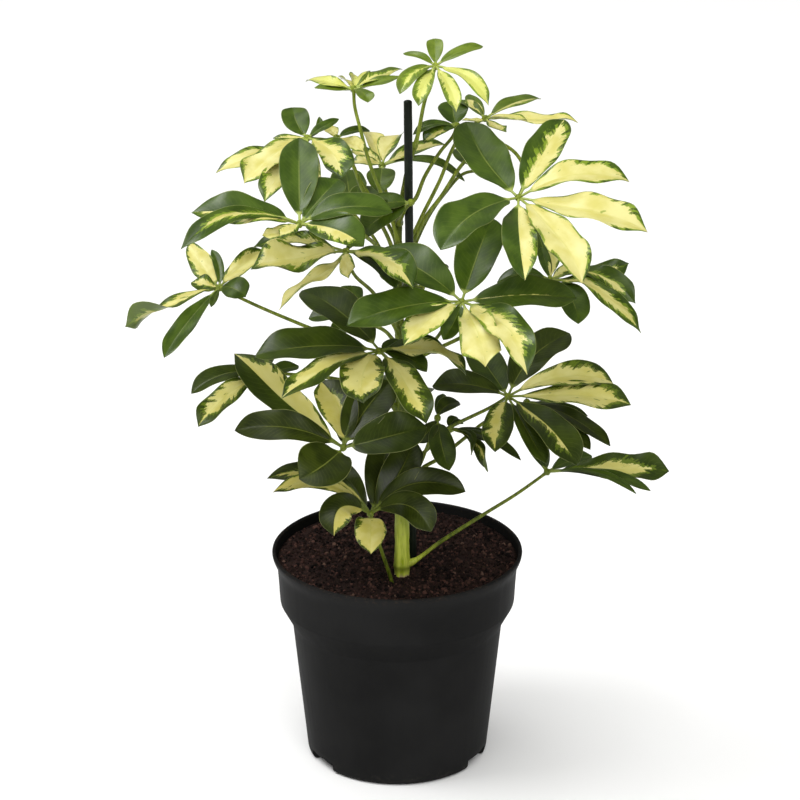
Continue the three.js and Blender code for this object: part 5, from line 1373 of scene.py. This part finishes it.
class LeafLook(PropertyGroup):
    young_green: colour_property("Young green", "Green of the youngest leaves", srgb(84, 106, 18))
    green: colour_property("Green", "Green of grown leaves", srgb(47, 68, 8))
    old_green: colour_property("Old green", "Green of the lowest leaves", srgb(34, 43, 4))
    cream: colour_property("Cream", "Light parts of the leaves", srgb(214, 208, 138))
    roughness: FloatProperty(name="Roughness", description="How dull the upper side is",
                             default=0.34, min=0.0, max=1.0, subtype="FACTOR")
    vein_relief: FloatProperty(name="Vein relief", description="Height of the side veins",
                               default=0.00004, min=0.0, max=0.003, subtype="DISTANCE",
                               unit="LENGTH")


class StemLook(PropertyGroup):
    stem: colour_property("Stem", "Light green of trunk and stalks", srgb(150, 164, 54))
    stain: colour_property("Stake", "Dark stain of the stake", srgb(12, 18, 11))


class PotLook(PropertyGroup):
    plastic: colour_property("Plastic", "Black of the pot", srgb(24, 24, 24))
    roughness: FloatProperty(name="Roughness", description="How dull the plastic is",
                             default=0.42, min=0.0, max=1.0, subtype="FACTOR")


class SoilLook(PropertyGroup):
    soil: colour_property("Soil", "Brown of the peat", srgb(34, 23, 19))
    density: FloatProperty(name="Crumbs", description="Crumbs on each square metre of soil",
                           default=430000.0, min=0.0, max=460000.0)
    largest: FloatProperty(name="Largest crumb", description="Half length of the largest crumb",
                           default=0.0016, min=0.0005, max=0.006, subtype="DISTANCE",
                           unit="LENGTH")
    seed: IntProperty(name="Seed", description="Draws another spread of crumbs", default=3, min=0)


class StageLook(PropertyGroup):
    shade: FloatProperty(name="Floor", description="Brightness of the floor",
                         default=0.97, min=0.0, max=1.0, subtype="FACTOR")
    overhead: FloatProperty(name="Overhead light",
                            description="Strength of the soft light from above",
                            default=2.5, min=0.0, max=20.0)
    power: FloatProperty(name="Side light", description="Power of the soft light on the left",
                         default=14.0, min=0.0, max=500.0, subtype="POWER", unit="POWER")


# ---------- operators ----------

class PLANT_OT_pot(Operator):
    """Makes the nursery pot"""

    bl_idname = "plant.pot"
    bl_label = "Pot"

    def execute(self, context):
        look = context.scene.plant_pot
        settle(object_from("pot_body", pot_mesh(), [pot_paint(look)]), "pot", "pot")
        return {"FINISHED"}


class PLANT_OT_soil(Operator):
    """Makes the soil, with its crumbs"""

    bl_idname = "plant.soil"
    bl_label = "Soil"

    def execute(self, context):
        look = context.scene.plant_soil
        material = soil_paint(look)
        settle(object_from("soil_bed", soil_mesh(), [material]), "soil", "soil")
        tree = crumb_tree()
        few = look.density * 0.02
        # Name, density, half lengths from small to large, fineness of the ball, stretch, seed.
        for name, density, small, large, detail, stretch, seed in (
                ("soil_crumbs", look.density, 0.0003, look.largest, 1, 1.3, look.seed),
                ("soil_clods", few, 0.001, look.largest * 1.5, 2, 1.3, look.seed + 8),
                ("soil_fibres", few, 0.00018, 0.0004, 1, 11.0, look.seed + 20)):
            bed = object_from(name + "_bed", strewing_mesh(), [])
            piece = run_tree(bed, tree, name, Density=density, Smallest=small, Largest=large,
                             Detail=detail, Stretch=stretch, Seed=seed, Material=material)
            settle(piece, "soil", "soil")
        return {"FINISHED"}


class PLANT_OT_stake(Operator):
    """Makes the support stake"""

    bl_idname = "plant.stake"
    bl_label = "Stake"

    def execute(self, context):
        top, foot = sight(*STAKE_TOP), sight(*STAKE_FOOT)
        down = unit(foot - top)
        steps = [foot + (top - foot) * k / STAKE_STEPS for k in range(STAKE_STEPS + 1)]
        centres = np.array([foot + down * STAKE_SUNK, *steps])
        centres[-1] = centres[-1] + down * STAKE_END
        radii = np.full(len(centres), STAKE_RADIUS)
        radii[1:-1] += STAKE_UNEVEN * np.sin(np.arange(STAKE_STEPS) * 1.7)
        centres, radii = rounded_end(centres, radii, STAKE_END)
        piece = rod("stake_cane", centres, radii, 24, stake_paint(context.scene.plant_stem))
        settle(piece, "stake", "stake")
        return {"FINISHED"}


def living_stem(context):
    """The stem's material, made once for the trunk and the stalks."""
    return bpy.data.materials.get("living_stem") or stem_paint(context.scene.plant_stem)


class PLANT_OT_trunk(Operator):
    """Makes the trunk with its leaf scars"""

    bl_idname = "plant.trunk"
    bl_label = "Trunk"

    def execute(self, context):
        settle(trunk_rod(living_stem(context)), "stem", "trunk")
        return {"FINISHED"}


class PLANT_OT_leaves(Operator):
    """Makes every leaf, with its stalk and leaflets"""

    bl_idname = "plant.leaves"
    bl_label = "Leaves"

    def execute(self, context):
        materials = [leaf_paint(context.scene.plant_leaf), living_stem(context)]
        for serial, (name, item) in enumerate(LEAVES.items()):
            settle(build_leaf(name, item, materials, serial), "leaf", name)
        return {"FINISHED"}


class PLANT_OT_stage(Operator):
    """Makes the pale floor, the soft lights and the camera"""

    bl_idname = "plant.stage"
    bl_label = "Stage"

    def execute(self, context):
        scene = context.scene
        look = scene.plant_stage
        corners = [(x * FLOOR_REACH, y * FLOOR_REACH, -FLOOR_DROP)
                   for x, y in ((-1, -1), (1, -1), (1, 1), (-1, 1))]
        floor = object_from("floor", mesh_from("floor", corners, [(0, 1, 2, 3)], False),
                            [floor_paint(look)])
        sky = bpy.data.lights.new("overhead", "SUN")
        sky.energy = look.overhead
        sky.angle = math.radians(90)
        dome = put_in_scene("overhead", sky, (0.0, 0.0, 0.0), SUN_TILT)
        dome.visible_glossy = False
        for name, (place, aim, size, strength) in LAMPS.items():
            lamp = bpy.data.lights.new(name, "AREA")
            lamp.shape = "SQUARE"
            lamp.size = size
            lamp.energy = look.power * strength
            way = unit(np.array(aim) - np.array(place))
            turn = (math.acos(-way[2]), 0.0, math.atan2(way[1], way[0]) - math.pi / 2)
            put_in_scene(name, lamp, place, turn)
        world = bpy.data.worlds.new("soft_room")
        world.use_nodes = True
        room = world.node_tree.nodes["Background"]
        room.inputs["Color"].default_value = ROOM_COLOUR
        room.inputs["Strength"].default_value = ROOM_STRENGTH
        scene.world = world
        lens = bpy.data.cameras.new("camera")
        lens.sensor_width = SENSOR
        lens.lens = SENSOR * FOCUS / (2 * CENTRE)
        lens.clip_end = 100.0
        scene.camera = put_in_scene("camera", lens, EYE * MM, (math.pi / 2 - PITCH, 0.0, 0.0))
        scene.view_settings.view_transform = "Standard"
        return {"FINISHED"}


class PLANT_PT_panel(Panel):
    """Sizes, colours and the pieces to make"""

    bl_label = "Umbrella plant"
    bl_idname = "PLANT_PT_panel"
    bl_space_type = "VIEW_3D"
    bl_region_type = "UI"
    bl_category = "Plant"

    def draw(self, context):
        for name, holder in HOLDERS.items():
            box = self.layout.box()
            for key in holder.__annotations__:
                box.prop(getattr(context.scene, name), key)
        for operator in OPERATORS:
            self.layout.operator(operator.bl_idname)


HOLDERS = {"plant_leaf": LeafLook, "plant_stem": StemLook, "plant_pot": PotLook,
           "plant_soil": SoilLook, "plant_stage": StageLook}
OPERATORS = (PLANT_OT_stage, PLANT_OT_pot, PLANT_OT_soil, PLANT_OT_stake, PLANT_OT_trunk,
             PLANT_OT_leaves)


def register():
    for kind in (*HOLDERS.values(), *OPERATORS, PLANT_PT_panel):
        bpy.utils.register_class(kind)
    for name, holder in HOLDERS.items():
        setattr(bpy.types.Scene, name, PointerProperty(type=holder))


def unregister():
    for name in HOLDERS:
        delattr(bpy.types.Scene, name)
    for kind in reversed((*HOLDERS.values(), *OPERATORS, PLANT_PT_panel)):
        bpy.utils.unregister_class(kind)


def main():
    register()
    for operator in OPERATORS:
        group, name = operator.bl_idname.split(".")
        getattr(getattr(bpy.ops, group), name)()


if __name__ == "__main__":
    main()
